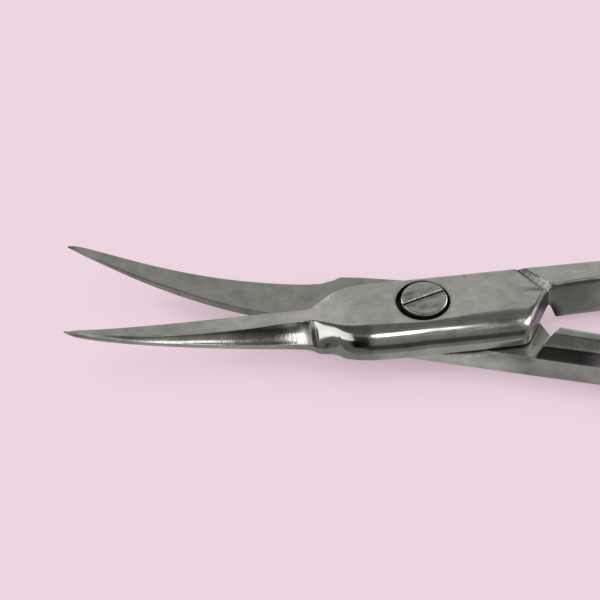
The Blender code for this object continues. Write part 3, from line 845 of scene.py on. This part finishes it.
half_slot = SLOT_WIDTH / 2
slot_side = [(half_slot, -SLOT_DEPTH), (half_slot, -0.6 * SLOT_DEPTH), (half_slot, -0.06),
             (half_slot + 0.08, -0.01), (half_slot + 0.46, 0.19)]
slot_outline = [(sideways, HEAD_TOP + drop) for sideways, drop in slot_side]
slot_outline += [(-sideways, HEAD_TOP + drop) for sideways, drop in reversed(slot_side)]
slot_outline += [(share * half_slot, HEAD_TOP - SLOT_DEPTH) for share in (-0.5, 0.0, 0.5)]
cut(screw, prism("slot", slot_outline, -3, 3, SLOT_ANGLE, HEAD_CENTRE), "DIFFERENCE")
print("screw has", len(screw.data.polygons), "faces")

# %% [markdown]
# A groove is filed slantwise across the outer face, through the corner of the notch. A file leaves a
# V that is narrow and shallow where it starts and wide and deep where it breaks out. Its tool is a
# wedge whose section grows along the way.

# %% Groove
GROOVE_TO = (10.64, -0.10)                             # along and across at the notch
GROOVE_FROM = {1: (7.73, 3.44), -1: (9.0, 2.15)}       # past the outer side in front, just inside it behind
GROOVE_NARROW, GROOVE_WIDE = 0.68, 0.94
GROOVE_DEPTHS = {1: (0.06, 0.46), -1: (0.30, 0.40)}    # at its start and at the notch
GROOVE_FLARE, GROOVE_OVERRUN = 3.2, 1.6                # length over which it widens, and past the notch
# Corners of its section: sideways in widths, height in depths. It crosses the face at half a width.
GROOVE_SECTION = np.array([(-0.15, -1.0), (1.15, 1.0), (-0.85, 1.0)])


def groove_line(side):
    """Start, heading and length of the groove on a half's plan."""
    start = np.array(GROOVE_FROM[side])
    way = np.array(GROOVE_TO) - start
    length = np.linalg.norm(way)
    return start, way / length, length


def groove_grid(side, stations=110, steps=8):
    """A wedge along a line: its section is a triangle whose width and depth grow with the reach."""
    start, heading, length = groove_line(side)
    sideways = np.array([-heading[1], heading[0]])
    reach = np.linspace(0.0, length + GROOVE_OVERRUN, stations)
    widening = np.clip((reach - length + GROOVE_FLARE) / GROOVE_FLARE, 0, 1.4)
    width = GROOVE_NARROW + (GROOVE_WIDE - GROOVE_NARROW) * widening
    depth = np.interp(reach, [0.0, length], GROOVE_DEPTHS[side])
    corners = zip(GROOVE_SECTION, np.roll(GROOVE_SECTION, -1, axis=0))
    outline = np.concatenate([np.linspace(here, there, steps, endpoint=False) for here, there in corners])
    spread = (sideways * outline[:, :1])[None] * width[:, None, None]
    plan = (start + reach[:, None] * heading)[:, None] + spread
    height = THICK + outline[None, :, 1] * depth[:, None]
    return np.concatenate([plan, height[..., None]], axis=2)


for side in (1, -1):
    groove = link_mesh("groove", closed_tube("groove", lift(groove_grid(side), side)))
    cut_away(pieces[side], groove, GROOVE_REGION)
print("grooves cut")

# %% [markdown]
# ## Finishes
# Every face of the forging was finished in its own way: the flat top was ground and then scratched in
# use, the long bevel was polished, the hollow of the blade shows the strokes of the wheel and the
# walls were only tumbled. One material per face would change at a hard line. Instead each vertex
# carries its own tone, roughness and marks, worked out from its place, and one steel reads them.
# Many of these tones also hold painted light: painted reflections, highlights and shade.

# %% Places on the finished mesh
def own_plan(mesh, side):
    """The inverse of lift: finished vertices back to along, across and height in mm."""
    x, y, z = vertex_places(mesh).T / MM
    swing = side * math.radians(OPENING / 2)
    along = x * math.cos(swing) + y * math.sin(swing)
    across = side * (y * math.cos(swing) - x * math.sin(swing))
    past = np.maximum(np.hypot(along, across) - BEND_START, 0)
    rise = np.where(along < 0, TIP_RISE * (past / (TIP - BEND_START)) ** 2, 0)
    return np.stack([along, across, side * (z - MEETING_PLANE - rise)], axis=1)


def region_shares(mesh, rounds=2):
    """How much of each region touches a vertex, averaged with its neighbours a few times."""
    sizes, region = read(mesh.polygons, "loop_total"), read(mesh.polygons, "material_index")
    edges = read(mesh.edges, "vertices", 2)
    share = np.zeros((len(mesh.vertices), REGION_COUNT))
    np.add.at(share, (read(mesh.loops, "vertex_index"), np.repeat(region, sizes)), 1.0)
    share /= share.sum(axis=1, keepdims=True) + 1e-9
    one, two = edges.reshape(-1, 2).T
    count = 1.0 + np.bincount(edges, minlength=len(share))
    for _ in range(rounds):
        total = share.copy()
        np.add.at(total, one, share[two])
        np.add.at(total, two, share[one])
        share = total / count[:, None]
    return share


def places_of(piece, side):
    """All that the finishes depend on, one value per vertex.

    Lengths are in mm on the half's own plan. All others are shares from 0 to 1: of the regions, and
    of zones that fade in or out along the length.
    """
    plan, share = own_plan(piece.data, side), region_shares(piece.data)
    along, across, height = plan.T
    upright = side * read(piece.data.vertex_normals, "vector", 3, float)[2::3]
    ahead = 1 - fade(along, 10.5, 10.9)
    past_step = along - (STEP_AT[side] - STEP_SLANT * across)
    return SimpleNamespace(
        plan=plan, along=along, across=across, height=height, upright=upright, share=share,
        wall=share[:, 0], bevel=share[:, 1], face=share[:, 2], outer=share[:, 3],
        inner=share[:, 4:7].sum(axis=1), ahead=ahead, behind=1 - ahead,
        blade=1 - fade(along, CREASE - 0.05, CREASE + 0.05), end=fade(along, 8.35, 8.9) * ahead,
        steep=1 - fade(upright, 0.33, 0.47), past_step=past_step, below=fade(past_step, -0.08, 0.12))


by_side = {side: places_of(pieces[side], side) for side in (1, -1)}
for side, at in by_side.items():
    print(pieces[side].name, "spans", at.plan.min(axis=0).round(1), "to", at.plan.max(axis=0).round(1))

# %% [markdown]
# Each finish is a tone of the steel, a roughness, and how much of the wheel's strokes and of the
# scratches shows. Many tones are painted light. The shank, the end face and its edge, and the step's
# slope and side are painted dark, darker than steel really is: painted reflections of the dark parts
# of a studio that a face mirrors and that the lamps and cards here don't repeat. The step's top is
# painted bright, a painted reflection too. The tones of the walls, the outer side, the steep bevel
# and the blade's root are a little green, which balances the pink paper that they mirror. Seen from
# behind, that shows. The recess round the screw is near black.

# %% Mixing the finishes
# red, green, blue, roughness, strokes across the length, scratches
# Painted reflections: shank, end, end_edge and the step tones; the green of wall, outer, low and root
FINISH = {
    "wall": (0.285, 0.375, 0.285, 0.26, 0.1, 0.1), "bevel": (0.55, 0.545, 0.505, 0.10, 0.0, 0.02),
    "hollow": (0.54, 0.535, 0.50, 0.15, 0.7, 0.1), "face": (0.61, 0.615, 0.55, 0.22, 0.05, 0.8),
    "outer": (0.275, 0.38, 0.305, 0.25, 0.1, 0.1), "inner": (0.43, 0.44, 0.385, 0.28, 0.25, 0.1),
    "shank": (0.135, 0.185, 0.14, 0.30, 0.8, 0.1), "ring": (0.50, 0.51, 0.49, 0.18, 0.03, 0.15),
    "end": (0.092, 0.125, 0.095, 0.28, 0.6, 0.1), "end_edge": (0.15, 0.155, 0.145, 0.28, 0.3, 0.1),
    "root": (0.41, 0.49, 0.405, 0.22, 0.1, 0.5), "low": (0.29, 0.37, 0.295, 0.22, 0.1, 0.1),
    "step_top": (0.84, 0.84, 0.79, 0.20, 0.1, 0.1), "step_slope": (0.19, 0.19, 0.175, 0.20, 0.1, 0.1),
    "step_side": (0.035, 0.042, 0.035, 0.25, 0.1, 0.1),
    "recess": (0.035, 0.035, 0.03, 0.45, 0.0, 0.0), "groove": (0.30, 0.31, 0.29, 0.34, 1.0, 1.0),
}


def mix_finishes(at):
    """Weighted mean of the finishes: a region's share, split where its finish changes."""
    root = fade(at.along, -16.0, -13.0) * (1 - fade(at.along, -9.1, -8.6))
    block_bevel = at.bevel * (1 - at.blade) * (1 - at.end) * at.ahead
    weight = {
        "wall": at.wall * (1 - at.end) * at.ahead,
        "low": block_bevel * at.steep,
        "bevel": block_bevel * (1 - at.steep),
        "end_edge": at.bevel * at.end,
        "hollow": at.bevel * at.ahead * at.blade,
        "face": at.face * (1 - root),
        "root": at.face * root,
        "outer": at.outer,
        "inner": at.inner * (1 - at.below),
        "shank": at.wall * at.behind,
        "end": at.wall * at.end,
        "step_top": at.share[:, 6] * at.below,
        "step_slope": at.share[:, 5] * at.below + at.bevel * at.behind,
        "step_side": at.share[:, 4] * at.below,
        "ring": at.share[:, RING_REGION],
        "recess": at.share[:, RECESS_REGION],
        "groove": at.share[:, GROOVE_REGION],
    }
    share = np.clip(np.stack(list(weight.values()), axis=1), 0, None)
    look = share @ np.array([FINISH[name] for name in weight])
    look /= np.maximum(share.sum(axis=1, keepdims=True), 1e-6)
    away = fade(at.along, 13.5, 19.0) * (1 - at.share[:, RING_REGION])
    return look + (np.array(FINISH["ring"]) - look) * away[:, None]


print(len(FINISH), "finishes")

# %% [markdown]
# Marks are drawn with a handful of soft shapes: an oval spot, a streak along a line and a window that
# opens and closes along a measure. Each gives a share from 0 to 1 for every vertex. The share then
# shades or tints the tone, so marks can overlap in any order.

# %% Helpers for marks
def spot(plan, along, across, long, wide, turn=0.0):
    """Soft oval mark on the plan: exp(-(distance / size)^2)."""
    angle = math.radians(turn)
    a, b = plan[:, 0] - along, plan[:, 1] - across
    u = (a * math.cos(angle) + b * math.sin(angle)) / long
    v = (b * math.cos(angle) - a * math.sin(angle)) / wide
    return np.exp(-u * u - v * v)


def streak(value, middle, width):
    """Soft line where a measure is near a value: exp(-((value - middle) / width)^2)."""
    return np.exp(-((value - middle) / width) ** 2)


def window(value, rise_from, rise_to, fall_from, fall_to):
    """Zone that fades in over one stretch of a measure and out over another."""
    return fade(value, rise_from, rise_to) * (1 - fade(value, fall_from, fall_to))


def shade(look, where):
    """Darken by a share of the tone. A share below 0 lightens."""
    look[:, :3] *= (1 - where)[:, None]


def tint(look, where, colour):
    """Multiply the tone by a colour where the share is 1, and leave it where the share is 0."""
    look[:, :3] *= 1 - where[:, None] * (1 - np.array(colour))


def light_along(look, where, along, stops):
    """Multiply the tone by what a table of (along, lightness) says, as far as the share goes."""
    shade(look, where * (1 - np.interp(along, *np.array(stops).T)))


print("a spot's middle has the share", spot(np.zeros((1, 3)), 0.0, 0.0, 1.0, 1.0)[0])

# %% [markdown]
# Each face is painted lighter or darker along its length, as painted highlights and painted shade:
# in the blade's hollow a brighter blotch near its root and darker stretches elsewhere, and a dimmed
# shoulder on the block's bevel. A short table per face says how light it is at some places, and the
# tone runs straight between them.

# %% Light along the length
# along and how light the face is there
FACE_LIGHT = ((-30.0, 0.72), (-22.0, 0.70), (-18.5, 0.74), (-14.6, 0.95), (-9.0, 1.0), (-3.0, 1.02),
              (1.0, 1.10), (5.0, 1.06), (8.0, 0.94), (9.4, 1.10), (10.5, 1.10), (12.0, 1.07), (30.0, 1.0))
HOLLOW_LIGHT = ((-30.0, 0.5), (-27.2, 0.5), (-26.2, 0.40), (-24.4, 0.40), (-23.4, 0.62), (-21.8, 0.93),
                (-16.6, 0.88), (-15.4, 0.50), (-12.5, 0.36), (-11.9, 0.60), (-11.3, 1.25), (-10.2, 1.3),
                (-9.85, 0.35), (-9.2, 0.22))
WALL_LIGHT = ((-30.0, 0.9), (-15.0, 1.07), (-13.0, 0.95), (-11.0, 0.68), (-6.0, 0.68), (-3.5, 1.0),
              (0.0, 1.0))
BEVEL_LIGHT = ((-9.2, 0.70), (-7.0, 0.70), (-6.4, 0.60), (-4.95, 0.60), (-4.55, 1.0), (30.0, 1.0))

looks = {}
for side, at in by_side.items():
    look = mix_finishes(at)
    # Painted highlights and shade along the length of the top face and of the inner wall
    light_along(look, at.face, at.along, FACE_LIGHT)
    light_along(look, at.wall, at.along, WALL_LIGHT)
    # The hollow is a little duller at both ends, and the strokes show most where it begins
    hollow = at.blade * at.bevel
    look[:, 3] += (0.04 * fade(at.along, -12.2, -11.3) + 0.12 * (1 - fade(at.along, -27.0, -25.0))) * hollow
    look[:, 4] += 0.8 * fade(at.along, -12.8, -11.8) * hollow
    looks[side] = look
    print(pieces[side].name, "has the mean tone", look[:, :3].mean(axis=0).round(3))

# %% [markdown]
# The front half is seen from above. Its polished facet is painted darker in a band near the corner,
# and so is its rounded end edge. Painted shade darkens the groove's end, the foot of the crease and
# the notch's slanted wall, and the rounded side is tinted pink as a painted reflection of the floor.

# %% Marks of the front half
def front_marks(look, at):
    """Painted light and shade of the front half, from the groove's end over the facet and the hollow to the
    shank.
    """
    along, bevel, upright = at.along, at.bevel, at.upright
    # Painted shade at the groove's end, on the flat face
    groove_end_shade = spot(at.plan, 9.42, -0.05, 1.0, 0.17, -8)
    shade(look, 0.85 * groove_end_shade * at.face)
    # Painted shade: a band of the polished facet near the corner is darker, which cuts the lamp's streak
    # short
    facet_dark_band = window(along, 4.9, 6.0, 7.2, 7.9) * window(upright, 0.62, 0.8, 0.90, 0.96)
    shade(look, 0.5 * facet_dark_band * bevel)
    # Painted shade along the block's bevel, which dims the highlight at the shoulder
    light_along(look, bevel * (1 - at.blade) * (1 - at.end), along, BEVEL_LIGHT)
    # Painted shade on the rounded edge at the block's end, which dims its highlight
    rounded_edge_shade = fade(1 - upright, 0.015, 0.07) * fade(along, 8.6, 9.2) * fade(at.across, -2.3, -1.7)
    shade(look, 0.55 * rounded_edge_shade * at.ahead * (at.face + bevel))
    # Painted shade at the foot of the crease
    crease_shade = spot(at.plan, CREASE - 0.02, -1.9, 0.16, 0.8)
    shade(look, 0.45 * crease_shade * bevel)
    # Painted highlights and shade along the blade's hollow
    light_along(look, bevel * at.blade, along, HOLLOW_LIGHT)
    # How far a vertex lies past the inner face, as a share of 1.7 mm
    reach = np.clip((FACE - at.height) / 1.7, -0.3, 1)
    # Painted shade on the notch's slanted wall
    notch_wall_shade = streak(along, 10.84 + 0.62 * reach, 0.42) * fade(reach, -0.3, 0.1)
    shade(look, 0.85 * notch_wall_shade * np.clip(at.wall + at.share[:, 6] + bevel, 0, 1) * (at.across < 0.6))
    # Painted reflection: the rounded side is tinted pink like the floor it mirrors, more so towards the notch
    tint(look, fade(along, 4.0, 7.5) * at.ahead * (at.wall + bevel * at.steep), (1.06, 0.91, 0.99))
    tint(look, fade(along, 7.3, 8.3) * at.ahead * at.wall, (1.0, 0.88, 0.98))


front_marks(looks[1], by_side[1])
print("front half's mean tone is now", looks[1][:, :3].mean(axis=0).round(3))

# %% [markdown]
# Of the back half one sees the outer side and the step. A painted highlight runs beside the step. The
# outer side of its block lies in the front half's painted shade and has a rubbed line, and its inner
# face is in painted shade too. Elsewhere the outer side is painted lighter and pinker as a painted
# reflection of the floor. Its tip is darker, and a painted dark line along its cutting edge stands
# for the dark reflection of a narrow bevel.

# %% Marks of the back half
def back_marks(look, at):
    """Painted light and shade of the back half, and the wear on its block: by the step, on the outer side, at
    the tip and edge.
    """
    along, height, outer = at.along, at.height, at.outer
    # Painted highlight: a lighter line beside the step
    step_lip_highlight = streak(at.past_step, -0.42, 0.22) * fade(at.across, 0.5, 1.2) * at.inner
    shade(look, -0.45 * step_lip_highlight)
    # The front half's shade runs down the outer side on a slant
    shade_line = 1.2 - 0.398 * (along - 2.27)
    thick = 0.06 + 0.30 * fade(along, 2.3, 4.6)
    shaded = 1 - fade(height - shade_line, thick * 0.6, thick * 1.3)
    shade(look, 0.93 * shaded * window(along, 2.0, 2.6, 5.6, 6.4) * outer)
    # Painted reflection: the outer side is painted lighter, most near the paper, like the bright floor it
    # mirrors
    shade(look, -window(along, -9.0, -6.0, 6.3, 9.6) * (0.55 + 0.4 * fade(height, 1.0, 1.7)) * outer)
    rubbed = streak(height - shade_line, 0.72, 0.09) * window(along, 4.0, 4.4, 6.8, 7.2)
    shade(look, -rubbed * (0.5 + 0.5 * np.sin(7 * along) * np.sin(2.3 * along)) * outer)
    # Painted reflection: the outer side is tinted pinker, like the floor it mirrors
    tint(look, fade(along, -2.0, 3.0) * outer, (0.99, 0.92, 0.93))
    rough_zone = window(along, 3.5, 5.2, 9.0, 10.5) * outer
    shade(look, rough_zone * (0.10 + 0.32 * (1 - fade(height, 0.4, 1.3))))
    look[:, 4:6] += 0.7 * (rough_zone * (1 - fade(height, 0.9, 1.6)))[:, None]
    # The inner face between the front half and the step lies in its shade too
    level = at.inner * (1 - at.below)
    tint(look, window(along, 5.0, 6.5, 8.6, 9.3) * level, (0.83, 0.80, 0.83))
    tint(look, fade(along, 8.6, 9.3) * level, (0.98, 0.98, 0.98))
    # Painted reflection: the blade's outer side is lighter and warmer, like the floor it mirrors
    tint(look, (1 - fade(along, -11.0, -8.0)) * outer, (1.22, 1.12, 1.10))
    # The tip is darker
    dark_tip = spot(at.plan, -30.1, 0.1, 0.55, 0.7)
    shade(look, 0.7 * dark_tip)
    # A dark line along the cutting edge, painted as the dark reflection of a narrow bevel; the blade's outer
    # side is darker too
    inset = np.interp(along, BLADE[:, 0], BLADE[:, 2]) - at.across
    edge_dark_line = streak(inset, 0.07, 0.06) * fade(along, -28.5, -26.5)
    shade(look, at.blade * (0.22 * outer + 0.6 * edge_dark_line * np.clip(outer + at.share[:, 4], 0, 1)))


back_marks(looks[-1], by_side[-1])
print("back half's mean tone is now", looks[-1][:, :3].mean(axis=0).round(3))

# %% [markdown]
# The file left the groove rough. Its floor is painted in shade, and its far wall carries a painted
# highlight in flecks. A few sine waves of uneven lengths break the streak up without repeating. Then
# all is put together and stored: tone, marks and plan go into the mesh as attributes, which the steel
# reads later.

# %% Groove marks and painting
def groove_marks(look, at, side):
    """Painted shade on the floor of the filed groove and a mottled painted highlight on its far wall."""
    start, heading, _ = groove_line(side)
    from_start = at.plan[:, :2] - start
    reach, aside = from_start @ heading, from_start @ np.array([-heading[1], heading[0]])
    rim = 0.34 + 0.13 * np.clip(reach / 4.6, 0, 1) ** 2
    mottled = 1 + 0.5 * np.sin(8.3 * reach + 3 * aside) * np.sin(21 * reach)
    mottled += 0.3 * np.sin(29 * reach + 9 * aside)
    # Painted shade where the share is low, and a painted highlight in flecks towards the far wall
    tone = 0.26 + 0.50 * mottled * fade(aside / rim, -0.55, -0.15)
    shade(look, (1 - tone) * at.share[:, GROOVE_REGION])


def store(mesh, plan, look):
    """Write plan (mm), tone (colour) and marks (roughness, strokes, scratches) as attributes."""
    mesh.attributes.new("plan", "FLOAT_VECTOR", "POINT").data.foreach_set("vector", plan.ravel())
    for name, columns in (("tone", look[:, :3]), ("marks", look[:, 3:6])):
        solid = np.concatenate([columns, np.ones((len(look), 1))], axis=1)
        mesh.attributes.new(name, "FLOAT_COLOR", "POINT").data.foreach_set("color", solid.ravel())


for side, at in by_side.items():
    groove_marks(looks[side], at, side)
    store(pieces[side].data, at.plan, looks[side])
    print(pieces[side].name, "painted")

# %% [markdown]
# The screw's head was turned, then scratched by screwdrivers, and old grime sits round its slot. Each
# stain is one soft oval. Painted shade darkens the slot's floor at its sides and the screw below its
# head's top, and the middle of the floor is painted lighter, worn by screwdrivers and painted light in one.

# %% Tone of the screw
# red, green, blue, roughness, strokes, scratches
# Clean steel, painted shade for the slot's sides and below the head, and the slot's worn middle painted
# lighter
CLEAN, SHADE_TONE, WORN_AND_LIT = np.array([(0.52, 0.53, 0.49, 0.24, 0.3, 1.0), (0.03, 0.03, 0.028, 0.45, 0.0, 0.0),
                               (0.47, 0.47, 0.43, 0.34, 1.0, 1.0)])
# Along the slot, across it, half length, half width, strength of the grime
GRIME = ((-0.9, 0.95, 0.75, 0.28, 0.55), (-1.1, 0.45, 0.35, 0.18, 0.4), (0.3, 0.62, 0.5, 0.16, 0.35),
         (-0.5, -0.85, 0.55, 0.30, 0.45), (0.55, -1.2, 0.5, 0.22, 0.5), (0.9, 0.75, 0.35, 0.2, 0.3),
         (-1.2, -0.45, 0.3, 0.2, 0.35))


def paint_screw(mesh):
    """Bright head with old grime, painted shade below the head and at the slot's sides, a lighter slot
    middle. All lengths are in mm.
    """
    x, y, z = vertex_places(mesh).T / MM
    x, y = x - HEAD_CENTRE[0], y - HEAD_CENTRE[1]
    angle = math.radians(SLOT_ANGLE)
    u, v = x * math.cos(angle) + y * math.sin(angle), y * math.cos(angle) - x * math.sin(angle)
    plan, off, drop = np.stack([u, v, z], axis=1), np.abs(v), HEAD_TOP - z
    in_slot = (np.hypot(x, y) < HEAD_RADIUS - 0.03) * (off < SLOT_WIDTH * 0.6)
    depth = fade(drop, 0.04, 0.15) * in_slot + fade(drop, 0.15, 0.28) * (1 - in_slot)
    middle = in_slot * fade(off, SLOT_WIDTH * 0.5, SLOT_WIDTH * 0.3)
    mottled = 0.85 + 0.35 * np.sin(5.3 * u + 1) * np.sin(11 * u + 9 * v)
    # Painted shade below the head and at the slot's sides, painted light along the slot's middle
    look = CLEAN * (1 - depth)[:, None] + WORN_AND_LIT * (mottled * middle * depth)[:, None]
    look += SHADE_TONE * ((1 - middle) * depth)[:, None]
    lip = fade(off, SLOT_WIDTH / 2 + 0.12, SLOT_WIDTH / 2 + 0.06) * (drop < 0.10)
    uneven = 0.55 + 0.30 * np.sin(9.1 * u) * np.sin(3.7 * u + 1)
    shade(look, lip * (1 - uneven))
    for along, across, long, wide, strength in GRIME:
        shade(look, strength * spot(plan, along, across, long, wide) * (1 - depth))
    look[:, 3:6] = np.clip(look[:, 3:6], 0, 1)
    store(mesh, plan, look)


paint_screw(screw.data)
print("screw painted with", len(GRIME), "stains")

# %% [markdown]
# Three effects are shared by both steels. Wheel strokes are noise that is drawn out in one direction.
# Scratches are thinner, rarer and lie in several directions. Both are heights, and a Bump node turns
# them into tilted reflections. The third is a few dark specks, the spots of old stains.

# %% Shared groups
def new_group(name, inputs, outputs):
    """A node group with named inputs (label, kind, value) and outputs (label, kind)."""
    group = bpy.data.node_groups.new(name, "ShaderNodeTree")
    for label, kind, value in inputs:
        socket = group.interface.new_socket(name=label, in_out="INPUT", socket_type=kind)
        if value is not None:
            socket.default_value = value
    for label, kind in outputs:
        group.interface.new_socket(name=label, in_out="OUTPUT", socket_type=kind)
    return group, group.nodes.new("NodeGroupInput"), group.nodes.new("NodeGroupOutput")


strokes, taken, given = new_group(
    "wheel_strokes", [("Place", "NodeSocketVector", None), ("Stretch", "NodeSocketVector", (7.0, 0.9, 0.9))],
    [("Height", "NodeSocketFloat")])
drawn_out = node(strokes, "ShaderNodeVectorMath", operation="MULTIPLY")
grain = node(strokes, "ShaderNodeTexNoise", noise_dimensions="3D")
grain.inputs["Scale"].default_value, grain.inputs["Detail"].default_value = 1.0, 2.5
wire(strokes, (taken.outputs["Place"], drawn_out.inputs[0]), (taken.outputs["Stretch"], drawn_out.inputs[1]),
     (drawn_out.outputs[0], grain.inputs["Vector"]), (grain.outputs["Fac"], given.inputs["Height"]))

scratches, taken, given = new_group(
    "scratches", [("Place", "NodeSocketVector", None), ("Turn", "NodeSocketFloat", 0.0),
                  ("Rarity", "NodeSocketFloat", 0.62)], [("Depth", "NodeSocketFloat")])
turned_place = node(scratches, "ShaderNodeVectorRotate", rotation_type="Z_AXIS")
drawn_out = node(scratches, "ShaderNodeVectorMath", operation="MULTIPLY", in_1=(0.45, 5.0, 1.0))
grain = node(scratches, "ShaderNodeTexNoise", noise_dimensions="3D")
grain.inputs["Scale"].default_value, grain.inputs["Detail"].default_value = 1.0, 1.5
narrow = node(scratches, "ShaderNodeMapRange")
wire(scratches, (taken.outputs["Place"], turned_place.inputs["Vector"]),
     (taken.outputs["Turn"], turned_place.inputs["Angle"]),
     (turned_place.outputs[0], drawn_out.inputs[0]), (drawn_out.outputs[0], grain.inputs["Vector"]),
     (grain.outputs["Fac"], narrow.inputs["Value"]), (taken.outputs["Rarity"], narrow.inputs["From Min"]),
     (maths(scratches, "ADD", taken.outputs["Rarity"], 0.09), narrow.inputs["From Max"]),
     (narrow.outputs[0], given.inputs["Depth"]))

specks, taken, given = new_group(
    "specks", [("Place", "NodeSocketVector", None), ("Per mm", "NodeSocketFloat", 0.42),
               ("Size", "NodeSocketFloat", 0.045)], [("Dark", "NodeSocketFloat")])
cells = node(specks, "ShaderNodeTexVoronoi", feature="F1", distance="EUCLIDEAN")
near = node(specks, "ShaderNodeMapRange", in_3=1.0, in_4=0.0)
wire(specks, (taken.outputs["Place"], cells.inputs["Vector"]),
     (taken.outputs["Per mm"], cells.inputs["Scale"]), (cells.outputs["Distance"], near.inputs["Value"]),
     (maths(specks, "MULTIPLY", taken.outputs["Size"], 0.5), near.inputs["From Min"]),
     (taken.outputs["Size"], near.inputs["From Max"]), (near.outputs[0], given.inputs["Dark"]))
print("groups:", strokes.name, scratches.name, specks.name)

# %% [markdown]
# One recipe makes both steels. The halves and the screw differ only in which way their scratches run,
# how rare and how deep they are. The rest comes from what each vertex carries.

# %% Materials
SCRATCH_DEPTH, SCRATCH_DARK = -0.12, -0.07             # against the strokes' height, and on the tone


def add_group(tree, group, **values):
    """Add a node group, with values for some of its inputs."""
    made = tree.nodes.new("ShaderNodeGroup")
    made.node_tree = group
    for name, value in values.items():
        made.inputs[name].default_value = value
    return made


def steel_material(material, turns, rarity, depth):
    """Steel that reads tone and marks from the vertices.

    Colour = tone x (clouds + brushing - specks - scratches). Height of the bump = strokes x their
    mark - scratches x their mark. Roughness = its mark + 0.06 x the clouds' noise.
    """
    tree = material.node_tree
    shader = tree.nodes["Principled BSDF"]
    shader.inputs["Metallic"].default_value = 1.0
    plan, tone, marks = (node(tree, "ShaderNodeAttribute", attribute_name=name)
                         for name in ("plan", "tone", "marks"))
    parts = node(tree, "ShaderNodeSeparateColor")
    brush, stroke = add_group(tree, strokes, Stretch=(1.1, 8.0, 8.0)), add_group(tree, strokes)
    dot = add_group(tree, specks)
    cloud = node(tree, "ShaderNodeTexNoise", noise_dimensions="3D")
    cloud.inputs["Scale"].default_value, cloud.inputs["Detail"].default_value = 0.8, 6.0
    cloudy = node(tree, "ShaderNodeMapRange", in_1=0.3, in_2=0.7, in_3=0.86, in_4=1.12)
    wire(tree, (marks.outputs["Color"], parts.inputs[0]), (plan.outputs["Vector"], cloud.inputs["Vector"]),
         (cloud.outputs["Fac"], cloudy.inputs["Value"]),
         *[(plan.outputs["Vector"], item.inputs["Place"]) for item in (brush, stroke, dot)])
    rough_mark, stroke_mark, scratch_mark = parts.outputs
    brushing = maths(tree, "MULTIPLY_ADD", brush.outputs["Height"], 0.34, -0.17)
    specked = maths(tree, "MULTIPLY_ADD", dot.outputs["Dark"], -0.6, brushing)
    light = maths(tree, "ADD", specked, cloudy.outputs[0])
    height = maths(tree, "MULTIPLY", stroke.outputs["Height"], stroke_mark)
    for turn in turns:
        scratch = add_group(tree, scratches, Turn=math.radians(turn), Rarity=rarity)
        wire(tree, (plan.outputs["Vector"], scratch.inputs["Place"]))
        worn = maths(tree, "MULTIPLY", scratch.outputs["Depth"], scratch_mark)
        height = maths(tree, "MULTIPLY_ADD", worn, SCRATCH_DEPTH, height)
        light = maths(tree, "MULTIPLY_ADD", worn, SCRATCH_DARK, light)
    tinted = node(tree, "ShaderNodeVectorMath", operation="SCALE")
    bump = node(tree, "ShaderNodeBump")
    bump.inputs["Strength"].default_value, bump.inputs["Distance"].default_value = 1.0, depth * MM
    rough = maths(tree, "MULTIPLY_ADD", cloud.outputs["Fac"], 0.06, rough_mark)
    wire(tree, (tone.outputs["Color"], tinted.inputs[0]), (light, tinted.inputs["Scale"]),
         (tinted.outputs[0], shader.inputs["Base Color"]), (height, bump.inputs["Height"]),
         (bump.outputs[0], shader.inputs["Normal"]), (rough, shader.inputs["Roughness"]))


steel = plain_material("polished_steel", (0.55, 0.56, 0.54, 1.0), 0.16)
screw_steel = plain_material("turned_screw_steel", (0.5, 0.51, 0.48, 1.0), 0.24)
steel_material(steel, (14.0, -22.0, 62.0), 0.585, 0.014)
steel_material(screw_steel, (10.0, -60.0), 0.54, 0.016)
print("steels:", steel.name, "and", screw_steel.name)

# %% [markdown]
# Each piece now rides on the body that carries its solid, and stands for that one solid, so that it
# moves with it in every pose. The surfaces are smooth but for edges sharper than 32 degrees.

# %% Pieces on their bodies
SHARP_EDGE = math.radians(32)
for item, material, body, solid, slot in ((pieces[1], steel, "upper_half", "front_half", "polished_steel"),
                                          (pieces[-1], steel, "lower_half", "back_half", "polished_steel"),
                                          (screw, screw_steel, "lower_half", "pivot_screw", "screw_steel")):
    item.data.polygons.foreach_set("material_index", np.zeros(len(item.data.polygons), dtype=np.int32))
    item.data.materials.clear()
    item.data.materials.append(material)
    item.data.shade_smooth()
    item.data.set_sharp_from_angle(angle=SHARP_EDGE)
    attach(item, body)
    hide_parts(solid)
    print(item.name, "rides on", body)
